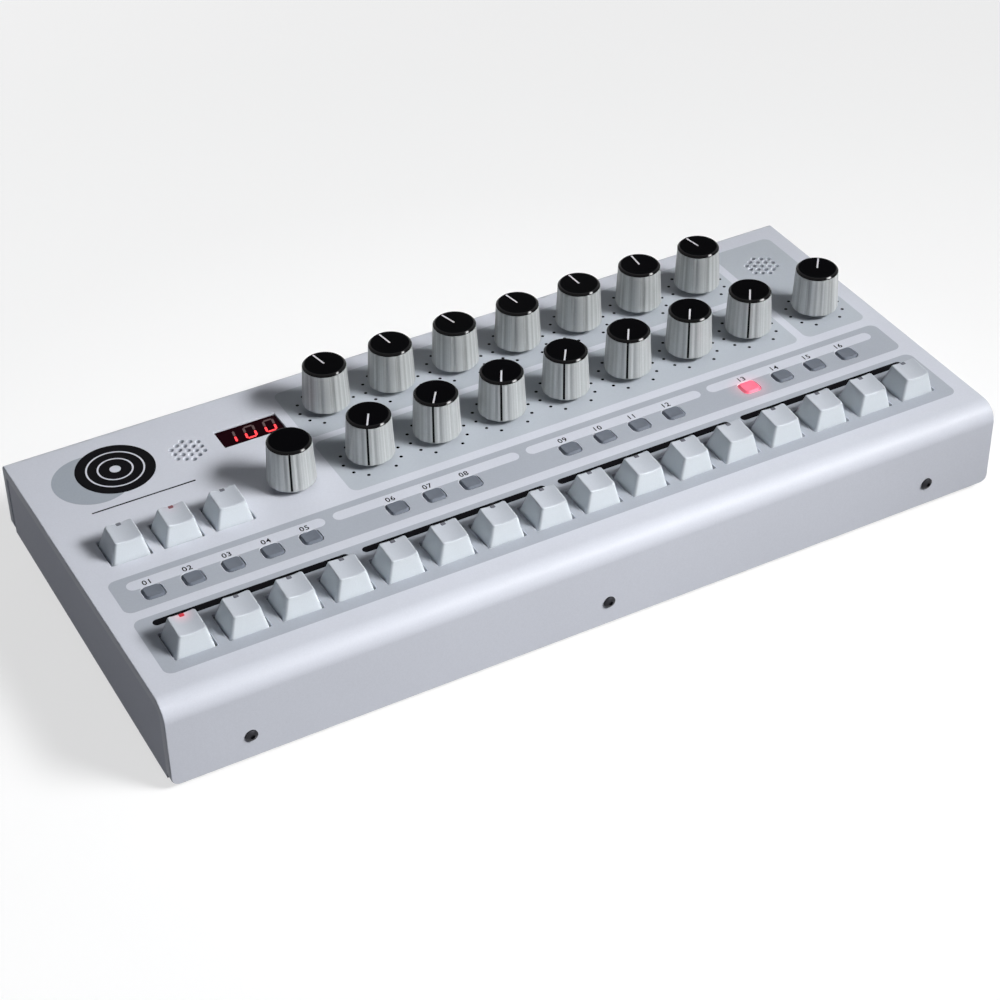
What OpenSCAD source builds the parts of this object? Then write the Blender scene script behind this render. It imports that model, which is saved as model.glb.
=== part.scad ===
// Desktop drum machine: a folded sheet case whose panel carries keys, buttons and knobs.
// X runs to the right, Y to the back and Z up. The origin lies on the table, under the
// middle of the whole object. Places below are counted from the middle of the case in X,
// from the outside of its front flange in Y, and from the table in Z.

/* [Case] */
// Width of the case
case_w = 420; // [380:1:450]
// Depth of the case
case_d = 190; // [189:1:210]
// Height of the front flange, measured down from the panel
front_h = 42.8; // [41:0.2:50]
// Height of the back flange, measured down from the panel
back_h = 35.7; // [35:0.1:40]
// Thickness of the cover and tray sheets
sheet = 2; // [1.6:0.1:2.2]
// Outer radius of the bend between panel and front flange
front_bend = 9; // [8:0.5:14]
// Outer radius of the bend between panel and back flange
back_bend = 3; // [2.6:0.1:5]
// Height of the narrow side flange that frames the cover's ends
band_w = 5; // [4.5:0.5:9]
// Open seam between the side flange and the tray's side wall
seam = 0.5; // [0.3:0.1:1]
// Clearance between the tray and the cover that slides over it
tray_fit = 0.3; // [0.2:0.05:0.5]
// Radius of the lower corners of the front and back flanges
corner_r = 4; // [1:0.5:5]
// Height of the tray's front lip
front_lip_h = 18; // [15:1:22]
// Height of the tray's back lip
back_lip_h = 7.6; // [7:0.1:8]
// Free length at each end of the tray's lips
lip_end_gap = 6; // [4:1:10]

/* [Feet] */
// Height of the front feet
front_foot_h = 3; // [2:0.5:6]
// Radius of the front feet
front_foot_r = 6; // [4:0.5:8]
// Radius of the back feet
back_foot_r = 8; // [6:0.5:10]
// Distance of the feet from the ends of the case
foot_side = 24; // [20:1:40]
// Distance of the feet from the front and back of the case
foot_inset = 20; // [16:1:30]
// Chamfer around the foot's sole
foot_chamfer = 0.6; // [0.3:0.1:1]

/* [Screws] */
// Radius of the screw shank
screw_r = 1.5; // [1.25:0.05:1.6]
// Length of the screw shank
screw_len = 8; // [7:0.5:9]
// Radius of the button head
screw_head_r = 2.85; // [2.5:0.05:3]
// Height of the button head
screw_head_h = 1.65; // [1.3:0.05:1.8]
// Width across the flats of the hexagon socket
socket_flats = 2; // [1.5:0.1:2.2]
// Depth of the hexagon socket
socket_depth = 1; // [0.6:0.1:1.1]
// Clearance around a screw in a plain hole
screw_gap = 0.2; // [0.15:0.05:0.3]
// Clearance around a screw in its thread
thread_gap = 0.02; // [0.01:0.01:0.04]
// Distance of the outer case screws from the ends of the case
screw_side = 36.8; // [30:0.2:50]
// Height of the front screws above the flange's lower edge
front_screw_up = 11.9; // [9:0.1:13]
// Height of the back screws above the flange's lower edge
back_screw_up = 4.2; // [4:0.1:4.4]
// Radius of the press-in nuts behind the lips
nut_r = 3.1; // [2.9:0.1:3.3]
// Depth of the press-in nuts
nut_len = 3; // [2:0.5:4]

/* [Keys] */
// Distance of the outer step keys' middles from the ends of the case
key_side = 26.025; // [25:0.005:30]
// Middle of the step key row, from the front
step_key_y = 35; // [32:0.5:38]
// Middle of the transport key row, from the front
transport_key_y = 105; // [103:0.5:112]
// Width and depth of a keycap at its foot
cap_base = 18.3; // [18:0.1:18.6]
// Radius of a keycap's upright edges at its foot
cap_base_r = 1.6; // [1:0.1:2]
// Width of a keycap's top
cap_top_w = 12.5; // [12:0.1:14]
// Depth of a keycap's top
cap_top_d = 12.7; // [12.4:0.1:13.5]
// Radius of a keycap's upright edges at its top
cap_top_r = 1.2; // [0.8:0.1:2]
// Distance of the top's front edge behind the foot's front edge
cap_front_set = 1.3; // [1:0.1:2]
// Height of the top's front edge above the panel
cap_front_up = 10.2; // [9.6:0.1:12]
// Height of the top's back edge above the panel
cap_back_up = 11.2; // [10:0.1:13]
// Depth of a keycap's foot below the panel's surface
cap_sink = 1.5; // [1:0.1:2]
// Wall thickness of a keycap
cap_wall = 1.3; // [1:0.05:1.4]
// Thickness of a keycap's top under its dish
cap_roof = 1.6; // [1.2:0.1:2]
// Depth of the dish in a keycap's top
dish_depth = 0.8; // [0.4:0.1:1]
// Gap around a keycap in its panel hole
key_gap = 0.5; // [0.3:0.05:0.8]
// Travel of a key
key_travel = 4; // [3:0.1:4]
// Width of the light window at the back of a keycap's top
lens_w = 2.4; // [2:0.1:3]
// Depth of the light window at the back of a keycap's top
lens_d = 1.9; // [1.5:0.1:2.4]

/* [Key switches] */
// Width and depth of a switch's lower housing
switch_w = 14; // [13.6:0.1:14.4]
// Height of a switch's lower housing
switch_low_h = 5; // [4.5:0.1:5.2]
// Width and depth of a switch's collar
collar_w = 13.4; // [13:0.1:13.5]
// Height of a switch's collar
collar_h = 3; // [2:0.1:3.2]
// Width of a switch's upper housing
switch_top_w = 11; // [10.6:0.1:11.2]
// Depth of a switch's upper housing
switch_top_d = 10; // [9.4:0.1:10.2]
// Height of a switch's upper housing
switch_top_h = 3.6; // [3.2:0.1:3.8]
// Width of the plunger
plunger_w = 7; // [6.4:0.1:7.4]
// Depth of the plunger
plunger_d = 5.4; // [5:0.1:5.8]
// Running clearance on each side of the plunger
plunger_fit = 0.05; // [0.03:0.01:0.1]
// Radius of the boss that joins keycap and plunger
boss_r = 2.4; // [2:0.1:2.5]

/* [Buttons] */
// Distance between neighbouring buttons of a group
button_pitch = 18.6; // [17:0.1:19.4]
// Middle of the button row, from the front
button_y = 71; // [68:0.5:74]
// Width of a button hole
button_hole_w = 9.8; // [9:0.1:10.6]
// Depth of a button hole
button_hole_d = 9.2; // [8.6:0.1:10]
// Corner radius of a button hole
button_hole_r = 2.6; // [1.5:0.1:3.5]
// Gap around a button in its hole
button_gap = 0.3; // [0.2:0.05:0.4]
// Height of a button above the panel
button_up = 0.8; // [0.7:0.1:1.5]
// Width of the ledge that keeps a button under the panel
button_ledge = 1; // [0.7:0.1:1.4]
// Thickness of that ledge
button_ledge_t = 1; // [0.7:0.1:1.5]
// Travel of a button
button_travel = 0.6; // [0.4:0.1:0.7]
// Radius of a button's post
post_r = 1.7; // [1.4:0.1:2]
// Width and depth of a small switch under a button
tact_w = 6.2; // [5.5:0.1:7]
// Height of a small switch under a button
tact_h = 4; // [3.5:0.1:4.5]

/* [Knobs] */
// Middle of the front knob row, from the front
front_knob_y = 111; // [108:0.5:114]
// Middle of the back knob row, from the front
back_knob_y = 157.3; // [154:0.1:160]
// Distance of the first knob column from the left end of the case
knob_left = 149.06; // [148:0.02:152]
// Distance of the last knob column from the right end of the case
knob_right = 65.26; // [64:0.02:70]
// Distance of the encoder and the display from the left end of the case
encoder_side = 109.5; // [108:0.5:111]
// Radius of a knob's foot
knob_foot_r = 11.4; // [10.8:0.1:11.6]
// Radius of a knob at the top of its skirt
knob_top_r = 10.4; // [9.8:0.1:10.8]
// Height of a knob's skirt
skirt_h = 19.8; // [17:0.1:21]
// Thickness of a knob's dark cap
knob_cap_h = 1.2; // [1:0.1:3]
// Bevel around a knob's dark cap
knob_bevel = 0.5; // [0.3:0.1:0.8]
// Gap between the panel and a knob's foot
knob_gap = 3; // [2.6:0.1:4]
// Wall thickness of a knob's skirt
skirt_wall = 1.8; // [1.2:0.1:2.2]
// Depth of the hollow under a knob
knob_hollow = 5; // [3:0.5:7]
// Width of a knob's pointer line
pointer_w = 1; // [0.8:0.1:1.4]
// Depth of a knob's pointer line
pointer_depth = 0.3; // [0.2:0.05:0.5]
// Distance that the line on the cap starts beyond the middle
pointer_tail = 1.5; // [0:0.1:4]
// Distance of the other end of that line from the middle
pointer_tip = 7.8; // [5:0.1:9]
// Distance of the groove in the skirt above its foot
groove_up = 0.5; // [0.3:0.1:3]
// Turn of the volume knob's pointer from straight back
volume_turn = 38; // [0:1:140]
// Turn of the encoder knob's groove from straight back
encoder_turn = -156; // [-180:1:180]

/* [Pots] */
// Radius of a pot's shaft
shaft_r = 3; // [2.5:0.1:3.2]
// Running clearance around a shaft
shaft_fit = 0.03; // [0.02:0.01:0.08]
// Width of a pot's body
pot_w = 9.8; // [9:0.1:12]
// Depth of a pot's body
pot_d = 11.4; // [10:0.1:12]
// Height of a pot's body
pot_h = 6.8; // [6:0.1:7.5]
// Radius of a pot's threaded bush
bush_r = 3.8; // [3.7:0.1:4.2]
// Gap around a bush in its panel hole
bush_gap = 0.2; // [0.1:0.05:0.3]
// Width across the flats of a pot's nut
pot_nut_flats = 10; // [9:0.5:12]
// Thickness of a pot's nut
pot_nut_h = 1.8; // [1.2:0.1:2]

/* [Display] */
// Width of the display window
window_w = 31; // [30:0.1:33]
// Depth of the display window
window_d = 13.8; // [13:0.1:15]
// Gap around the display in its window
window_gap = 0.2; // [0.1:0.05:0.3]
// Distance of the display's face below the panel's surface
face_drop = 0.8; // [0.4:0.1:1.2]
// Height of the display's body
display_h = 7.2; // [6:0.1:8]
// Width of the display's square pins
pin_w = 0.6; // [0.5:0.05:0.8]
// Distance between the display's pins
pin_pitch = 2.54; // [2:0.01:2.6]

/* [Speakers] */
// Distance of the left speaker's middle from the left end of the case
left_grille = 78.3; // [74:0.1:79]
// Distance between neighbouring grille holes
grille_pitch = 3.85; // [3.4:0.05:4.2]
// Radius of a grille hole
grille_r = 1.2; // [0.9:0.05:1.4]
// Radius of a speaker
speaker_r = 13; // [11:0.5:13.5]
// Thickness of a speaker's rim
speaker_rim_h = 1.5; // [1:0.1:2]
// Width of a speaker's rim
speaker_rim_w = 2; // [1.5:0.1:3]
// Height of a speaker's basket
basket_h = 2.6; // [2:0.1:3]
// Radius of a speaker's magnet
magnet_r = 6.5; // [5:0.5:8]
// Height of a speaker's magnet
magnet_h = 2; // [1.5:0.1:2.4]

/* [Control board] */
// Depth of the board's top below the panel's surface
board_drop = 11.9; // [11.8:0.1:12.2]
// Thickness of the board
board_t = 1.6; // [1.2:0.1:2]
// Distance of the board from the ends of the case
board_side = 8.5; // [7:0.5:10]
// Distance of the board from the front of the case
board_front = 10; // [9:0.5:11]
// Distance of the board from the back of the case
board_back = 10; // [9:0.5:11]
// Distance of the board's screws from the ends of the case
stand_side = 16; // [14:0.5:18]
// Distance of the board's screws from the front and back of the case
stand_inset = 16; // [15.5:0.5:18]
// Radius of the stands that carry the board
stand_r = 3.5; // [3:0.1:4]
// Width and depth of the main chip
chip_w = 14; // [10:1:20]
// Thickness of the main chip
chip_h = 1.4; // [1:0.1:2]

/* [Rear sockets] */
// Height of the sockets' axes, measured down from the panel
socket_drop = 21; // [20.8:0.1:21.2]
// Distance between neighbouring large jacks
large_pitch = 34; // [24:1:40]
// Middle of the first large jack, left of the middle of the case
large_first = 40; // [30:1:50]
// Number of large jacks
large_count = 3; // [2:1:3]
// Radius of a large jack's bore
large_bore_r = 3.25; // [3.2:0.01:3.3]
// Radius of a large jack's threaded bush
large_bush_r = 4.5; // [4.2:0.1:5]
// Distance that a large jack's bush stands out at the back
large_reach = 3; // [2.6:0.1:4]
// Width across the flats of a large jack's nut
large_nut_flats = 11; // [10:0.5:12]
// Thickness of a large jack's nut
large_nut_h = 2; // [1.4:0.1:2.5]
// Width of a large jack's body
large_w = 16; // [12:0.5:18]
// Depth of a large jack's body
large_d = 24; // [20:0.5:26]
// Height of a large jack's body
large_h = 12.6; // [11:0.1:12.8]
// Distance between neighbouring small jacks
small_pitch = 18; // [12:1:22]
// Middle of the first small jack, right of the middle of the case
small_first = 30; // [24:1:40]
// Number of small jacks
small_count = 4; // [2:1:4]
// Radius of a small jack's bore
small_bore_r = 1.8; // [1.76:0.01:1.85]
// Radius of a small jack's threaded bush
small_bush_r = 3; // [2.8:0.1:3.2]
// Distance that a small jack's nut stands out at the back
small_reach = 1.8; // [1.2:0.1:2.4]
// Radius of a small jack's round nut
small_nut_r = 4; // [3.6:0.1:4.4]
// Width and height of a small jack's body
small_w = 9; // [8:0.1:10]
// Depth of a small jack's body
small_d = 13; // [11:0.5:15]
// Gap around a bush in the back flange
back_gap = 0.15; // [0.1:0.05:0.25]
// Middle of the data socket, right of the middle of the case
data_x = 122; // [120:1:130]
// Width of the data socket's shell
data_w = 9; // [8.8:0.1:9.4]
// Height of the data socket's shell
data_h = 3.3; // [3.1:0.1:3.5]
// Wall of the data socket's shell
data_wall = 0.4; // [0.3:0.05:0.5]
// Depth of the data socket
data_d = 8; // [7:0.5:10]
// Middle of the power inlet, right of the middle of the case
power_x = 150; // [146:1:158]
// Radius of the power inlet's collar
power_r = 4.2; // [4:0.1:4.6]
// Radius of the power inlet's bore
power_bore_r = 2.8; // [2.7:0.1:3]
// Radius of the power inlet's centre pin
power_pin_r = 1; // [0.8:0.05:1.2]
// Depth of the power inlet's body
power_d = 14; // [12:0.5:16]

/* [Hidden] */
// Overshoot of cutting shapes
over = 1;
// Gap that keeps touching pieces of one node apart
joint_gap = 0.05;
// Roundness of true circles and of the corners inside hulls
$fn = 48;
hull_fn = 16;
// Rest turns of the pointers in both rows, clockwise from straight back
front_turns = [-150, -145, -150, -146, -147, -146, -146];
back_turns = [-10, -8, -14, -9, -3, 5, -9];
// Floors under a key switch's well, a small switch's bore and a pot's bore
well_floor = 1;
tact_floor = 0.6;
pot_floor = 1.5;

// Keys, buttons and knobs in each row; four keys make a group, with its buttons behind it
key_count = 16;
group_keys = 4;
group_count = key_count / group_keys;
group_buttons = [5, 3, 4, 4];
button_count = 16;
transport_count = 3;
knob_count = 7;

panel_z = front_foot_h + front_h;
panel_under = panel_z - sheet;
board_top = panel_z - board_drop;
board_under = board_top - board_t;
socket_z = panel_z - socket_drop;
back_face = case_d - sheet;
// The whole object reaches from the front screw heads to the large jacks' bushes
middle_y = (case_d + large_reach - screw_head_h) / 2;

switch_top_z = board_top + switch_low_h + collar_h + switch_top_h;
// Room that stays under a plunger, a post or a cap at the end of its travel
end_room = 0.4;
plunger_low_z = board_top + well_floor + key_travel + end_room;
plunger_top_z = switch_top_z + key_travel + end_room;
cap_foot_z = panel_z - cap_sink;
cap_rise = (cap_front_up + cap_back_up) / 2 + cap_sink;
cap_tilt = atan2(cap_back_up - cap_front_up, cap_top_d);
lens_h = cap_roof + end_room;
cap_top_y = cap_front_set + cap_top_d / 2 - cap_base / 2;
knob_foot_z = panel_z + knob_gap;
skirt_top_z = knob_foot_z + skirt_h;

// The rows spread with the case
key_pitch = (case_w - 2 * key_side) / (key_count - 1);
knob_pitch = (case_w - knob_left - knob_right) / (knob_count - 1);
encoder_x = encoder_side - case_w / 2;
volume_x = case_w / 2 - key_side;

function key_x(i) = key_side - case_w / 2 + i * key_pitch;
function knob_x(i) = knob_left - case_w / 2 + i * knob_pitch;
function group_x(g) = (g - (group_count - 1) / 2) * group_keys * key_pitch;
function button_xs() = [
    for (g = [0:group_count - 1]) for (i = [0:group_buttons[g] - 1])
        group_x(g) + (i - (group_buttons[g] - 1) / 2) * button_pitch
];
// Height of the case's lower edge, which rises towards the back
function lower_z(y) = front_foot_h + (front_h - back_h) * y / case_d;
function two_digits(i) = str(i < 10 ? "0" : "", i);

STEP_KEYS = [for (i = [1:key_count]) str("step_key_", two_digits(i))];
TRANSPORT_KEYS = [for (i = [1:transport_count]) str("transport_key_", i)];
BUTTONS = [for (i = [1:button_count]) str("button_", two_digits(i))];
FRONT_KNOBS = [for (i = [1:knob_count]) str("front_knob_", i)];
BACK_KNOBS = [for (i = [1:knob_count]) str("back_knob_", i)];

// Moves the case's own places to the object's origin
module placed() {
    translate([0, -middle_y, 0]) children();
}

// Carries a side outline, drawn in Y and Z, across the case
module across(width) {
    rotate([90, 0, 90]) linear_extrude(width, center = true) children();
}

module rounded_rect(w, d, r) {
    square([w - 2 * r, d], center = true);
    square([w, d - 2 * r], center = true);
    for (x = [-1, 1]) for (y = [-1, 1])
        translate([x * (w / 2 - r), y * (d / 2 - r)]) circle(r);
}

module rounded_slab(w, d, r, h) {
    linear_extrude(h) rounded_rect(w, d, r);
}

// Block centred in X and Y that stands on z = 0
module block(w, d, h) {
    translate([-w / 2, -d / 2, 0]) cube([w, d, h]);
}

// What a corner of radius r leaves outside its arc; sx and sy point out of the corner
module corner_waste(r, sx, sy) {
    difference() {
        translate([sx > 0 ? 0 : -r - over, sy > 0 ? 0 : -r - over]) square(r + over);
        circle(r);
    }
}

// Side outline of the case, moved in by inset and carried below its lower edge
module case_side(inset, below = 0) {
    front_r = front_bend - inset;
    back_r = back_bend - inset;
    far = case_d - inset;
    high = panel_z - inset;
    difference() {
        polygon([[inset, lower_z(inset) - below], [far, lower_z(far) - below],
                 [far, high], [inset, high]]);
        if (front_r > 0) translate([inset + front_r, high - front_r])
            corner_waste(front_r, -1, 1);
        if (back_r > 0) translate([far - back_r, high - back_r])
            corner_waste(back_r, 1, 1);
    }
}

// Side flanges of the cover, one at each end
module side_bands() {
    for (side = [-1, 1]) translate([side * (case_w - sheet) / 2, 0, 0]) across(sheet)
        difference() {
            case_side(0);
            case_side(band_w, over);
        }
}

module grille_holes() {
    ring = grille_pitch;
    for (q = [-2:2]) for (r = [-2:2]) if (abs(q + r) <= 2)
        translate([ring * q * cos(30), ring * (r + q / 2), -over])
            cylinder(h = sheet + 2 * over, r = grille_r, $fn = 24);
}

module panel_holes() {
    translate([0, 0, panel_under]) {
        for (i = [0:key_count - 1]) translate([key_x(i), step_key_y, -over])
            key_hole();
        for (i = [0:transport_count - 1]) translate([key_x(i), transport_key_y, -over])
            key_hole();
        for (x = button_xs()) translate([x, button_y, -over])
            rounded_slab(button_hole_w, button_hole_d, button_hole_r, sheet + 2 * over);
        for (p = pot_places()) translate([p[0], p[1], -over])
            cylinder(h = sheet + 2 * over, r = bush_r + bush_gap);
        translate([encoder_x, back_knob_y, -over])
            block(window_w, window_d, sheet + 2 * over);
        for (x = speaker_xs()) translate([x, back_knob_y, 0]) grille_holes();
    }
}

function speaker_xs() = [left_grille - case_w / 2, volume_x];
function pot_places() = concat(
    [for (i = [0:knob_count - 1]) [knob_x(i), front_knob_y]],
    [for (i = [0:knob_count - 1]) [knob_x(i), back_knob_y]],
    [[volume_x, front_knob_y], [encoder_x, front_knob_y]]
);
function case_screw_xs() = [for (i = [-1:1]) i * (case_w / 2 - screw_side)];
front_screw_z = lower_z(0) + front_screw_up;
back_screw_z = lower_z(case_d) + back_screw_up;

module key_hole() {
    hole = cap_base + 2 * key_gap;
    rounded_slab(hole, hole, cap_base_r, sheet + 2 * over);
}

module screw_holes(r, depth) {
    for (x = case_screw_xs()) {
        translate([x, -over, front_screw_z]) rotate([-90, 0, 0])
            cylinder(h = depth + over, r = r);
        translate([x, case_d + over, back_screw_z]) rotate([90, 0, 0])
            cylinder(h = depth + over, r = r);
    }
}

module back_holes() {
    translate([0, back_face - over, socket_z]) rotate([-90, 0, 0]) {
        for (x = large_xs()) translate([x, 0, 0])
            cylinder(h = sheet + 2 * over, r = large_bush_r + back_gap);
        for (x = small_xs()) translate([x, 0, 0])
            cylinder(h = sheet + 2 * over, r = small_bush_r + back_gap);
        translate([power_x, 0, 0])
            cylinder(h = sheet + 2 * over, r = power_r + back_gap);
        translate([data_x, 0, 0])
            rounded_slab(data_w + 2 * back_gap, data_h + 2 * back_gap,
                         data_h / 2, sheet + 2 * over);
    }
}

function large_xs() = [for (i = [0:large_count - 1]) -large_first - i * large_pitch];
function small_xs() = [for (i = [0:small_count - 1]) small_first + i * small_pitch];

// Rounds the lower corners of one flange; low is the height of its lower edge
module flange_corners(y, depth, low) {
    for (side = [-1, 1])
        translate([side * (case_w / 2 - corner_r), y, low + corner_r])
            rotate([90, 0, 0]) linear_extrude(depth, center = true)
                corner_waste(corner_r, side, -1);
}

module top_cover() {
    color("lavender") placed() difference() {
        union() {
            across(case_w) difference() {
                case_side(0);
                case_side(sheet, over);
            }
            side_bands();
        }
        panel_holes();
        screw_holes(screw_r + screw_gap, sheet + over);
        back_holes();
        flange_corners(0, 2 * sheet + tray_fit, lower_z(0));
        flange_corners(case_d, 2 * sheet + tray_fit, lower_z(case_d));
    }
}

// Bottom sheet with raised side walls and lips, and stands for the board. Walls, lips and
// stands start half way through the sheet.
module base_tray() {
    wall_x = case_w / 2 - tray_fit - sheet;
    front_y = sheet + tray_fit;
    back_y = case_d - sheet - tray_fit;
    color("gray") placed() difference() {
        union() {
            tray_floor(wall_x, front_y, back_y);
            for (side = [-1, 1]) translate([side * (wall_x + sheet / 2), 0, 0])
                across(sheet) case_side(band_w + seam, -sheet / 2);
            across(2 * (wall_x - lip_end_gap)) {
                sloping_strip(front_y, front_y + sheet, sheet / 2, front_lip_h);
                sloping_strip(back_y - sheet, back_y, sheet / 2, back_lip_h);
            }
            for (x = case_screw_xs()) {
                translate([x, front_y + sheet, front_screw_z]) rotate([-90, 0, 0])
                    cylinder(h = nut_len, r = nut_r);
                translate([x, back_y - sheet, back_screw_z]) rotate([90, 0, 0])
                    cylinder(h = nut_len, r = nut_r);
            }
            for (p = stand_places())
                translate([p[0], p[1], lower_z(p[1]) + sheet / 2])
                    cylinder(h = board_under - lower_z(p[1]) - sheet / 2, r = stand_r);
        }
        screw_holes(screw_r + thread_gap, front_y + sheet + nut_len + over);
        for (p = stand_places()) translate([p[0], p[1], board_under - screw_len])
            cylinder(h = screw_len + over, r = screw_r + thread_gap);
    }
}

// Tray's sheet, with its corners cut away where the cover's side flanges come down
module tray_floor(wall_x, front_y, back_y) {
    corner_d = band_w + seam;
    difference() {
        across(2 * (wall_x + sheet)) sloping_strip(front_y, back_y, 0, sheet);
        for (side = [-1, 1]) for (y = [corner_d / 2, case_d - corner_d / 2])
            translate([side * (wall_x + sheet), y, 0])
                block(2 * sheet, corner_d, front_h);
    }
}

// Strip between two depths that follows the case's lower edge, from low to high above it
module sloping_strip(y0, y1, low, high) {
    polygon([[y0, lower_z(y0) + low], [y1, lower_z(y1) + low],
             [y1, lower_z(y1) + high], [y0, lower_z(y0) + high]]);
}

function stand_places() = [
    for (x = [-1, 0, 1]) for (y = [stand_inset, case_d - stand_inset])
        [x * (case_w / 2 - stand_side), y]
];

// Button-head screw: the shank hangs down from z = 0 and the head stands on it
module screw() {
    difference() {
        union() {
            translate([0, 0, -screw_len]) cylinder(h = screw_len, r = screw_r);
            rotate_extrude() intersection() {
                translate([0, screw_head_h - dome_r()]) circle(dome_r());
                square([screw_head_r, screw_head_h]);
            }
        }
        translate([0, 0, screw_head_h - socket_depth])
            cylinder(h = socket_depth + over, r = socket_flats / sqrt(3), $fn = 6);
    }
}

// Radius of the dome that falls to a third of the head's height at its rim
function dome_r() = let (drop = screw_head_h * 2 / 3)
    (screw_head_r * screw_head_r + drop * drop) / (2 * drop);

module case_screws() {
    color("black") placed() {
        for (x = case_screw_xs()) {
            translate([x, 0, front_screw_z]) rotate([90, 0, 0]) screw();
            translate([x, case_d, back_screw_z]) rotate([-90, 0, 0]) screw();
        }
        for (p = stand_places()) translate([p[0], p[1], board_top]) screw();
    }
}

// Round foot with a chamfered sole, cut to the slope of the tray's underside
module foot(y, r) {
    top = lower_z(y + r);
    difference() {
        rotate_extrude() polygon([[0, 0], [r - foot_chamfer, 0], [r, foot_chamfer],
                                  [r, top], [0, top]]);
        translate([0, -y, 0]) across(2 * r + 2 * over)
            sloping_strip(y - r - over, y + r + over, 0, 2 * r);
    }
}

module rubber_feet() {
    color("dimgray") placed() for (side = [-1, 1]) {
        x = side * (case_w / 2 - foot_side);
        translate([x, foot_inset, 0]) foot(foot_inset, front_foot_r);
        translate([x, case_d - foot_inset, 0]) foot(case_d - foot_inset, back_foot_r);
    }
}

// Board with its screw holes, and its main chips on the underside
module control_board() {
    board_w = case_w - 2 * board_side;
    color("darkgreen") placed() difference() {
        union() {
            translate([-board_w / 2, board_front, board_under])
                cube([board_w, case_d - board_front - board_back, board_t]);
            for (g = [0:group_count - 1])
                translate([group_x(g), (button_y + front_knob_y) / 2,
                           board_under - chip_h])
                    block(chip_w, chip_w, chip_h);
        }
        for (p = stand_places()) translate([p[0], p[1], board_under - over])
            cylinder(h = board_t + 2 * over, r = screw_r + screw_gap);
    }
}

// Key switch on the board, with the well that guides the plunger
module key_switch() {
    difference() {
        union() {
            block(switch_w, switch_w, switch_low_h);
            translate([0, 0, switch_low_h]) block(collar_w, collar_w, collar_h);
            translate([0, 0, switch_low_h + collar_h])
                block(switch_top_w, switch_top_d, switch_top_h);
        }
        translate([0, 0, well_floor])
            block(plunger_w + 2 * plunger_fit, plunger_d + 2 * plunger_fit,
                  switch_low_h + collar_h + switch_top_h);
    }
}

module tact_switch() {
    difference() {
        block(tact_w, tact_w, tact_h);
        translate([0, 0, tact_floor])
            cylinder(h = tact_h, r = post_r + plunger_fit);
    }
}

// Pot or encoder: body on the board, bush through the panel, nut on top of it
module pot() {
    bush_top = board_drop + pot_nut_h + end_room;
    difference() {
        union() {
            block(pot_w, pot_d, pot_h);
            cylinder(h = bush_top, r = bush_r);
            translate([0, 0, board_drop])
                cylinder(h = pot_nut_h, r = pot_nut_flats / sqrt(3), $fn = 6);
        }
        translate([0, 0, pot_floor]) cylinder(h = bush_top, r = shaft_r + shaft_fit);
    }
}

module switch_and_pot_bodies() {
    color("darkslategray") placed() translate([0, 0, board_top]) {
        for (i = [0:key_count - 1]) translate([key_x(i), step_key_y, 0]) key_switch();
        for (i = [0:transport_count - 1]) translate([key_x(i), transport_key_y, 0])
            key_switch();
        for (x = button_xs()) translate([x, button_y, 0]) tact_switch();
        for (p = pot_places()) translate([p[0], p[1], 0]) pot();
    }
}

// Three-digit display on its pins
module display_module() {
    face_z = board_drop - face_drop;
    body_w = window_w - 2 * window_gap;
    body_d = window_d - 2 * window_gap;
    pin_row = body_d / 2 - 2 * pin_w;
    color("maroon") placed() translate([encoder_x, back_knob_y, board_top]) {
        translate([0, 0, face_z - display_h]) block(body_w, body_d, display_h);
        for (i = [-2.5:2.5]) for (side = [-1, 1])
            translate([i * pin_pitch, side * pin_row, 0])
                block(pin_w, pin_w, face_z - display_h);
    }
}

// Small speakers on the underside of the panel, open towards the grille
module speakers() {
    color("black") placed() for (x = speaker_xs())
        translate([x, back_knob_y, panel_under]) mirror([0, 0, 1]) rotate_extrude()
            polygon([
                [speaker_r - speaker_rim_w, 0], [speaker_r, 0],
                [speaker_r, speaker_rim_h], [speaker_r - speaker_rim_w, speaker_rim_h],
                [magnet_r, speaker_rim_h + basket_h],
                [magnet_r, speaker_rim_h + basket_h + magnet_h],
                [0, speaker_rim_h + basket_h + magnet_h],
                [0, basket_h], [magnet_r / 2, basket_h],
                [speaker_r - 2 * speaker_rim_w, speaker_rim_h / 2]
            ]);
}

// Sockets look out of the back: their own Z is the way a plug leaves
module large_jack() {
    difference() {
        union() {
            translate([0, 0, -large_d]) block(large_w, large_h, large_d);
            cylinder(h = sheet + large_reach, r = large_bush_r);
            translate([0, 0, sheet])
                cylinder(h = large_nut_h, r = large_nut_flats / sqrt(3), $fn = 6);
        }
        translate([0, 0, 2 - large_d])
            cylinder(h = large_d + sheet + large_reach, r = large_bore_r);
    }
}

module small_jack() {
    difference() {
        union() {
            translate([0, 0, -small_d]) block(small_w, small_w, small_d);
            cylinder(h = sheet + small_reach, r = small_bush_r);
            translate([0, 0, sheet])
                cylinder(h = small_reach, r = small_nut_r);
        }
        translate([0, 0, 2 - small_d])
            cylinder(h = small_d + sheet + small_reach, r = small_bore_r);
    }
}

// Data socket with the tongue in the middle of its flat shell
module data_socket() {
    inner_h = data_h - 2 * data_wall;
    difference() {
        translate([0, 0, sheet - data_d])
            rounded_slab(data_w, data_h, data_h / 2 - joint_gap, data_d);
        translate([0, 0, sheet - data_d + data_wall])
            rounded_slab(data_w - 2 * data_wall, inner_h,
                         inner_h / 2 - joint_gap, data_d);
    }
    translate([0, 0, sheet - data_d + data_wall])
        block(data_w - 3, inner_h / 3, data_d - 1.5);
}

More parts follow.
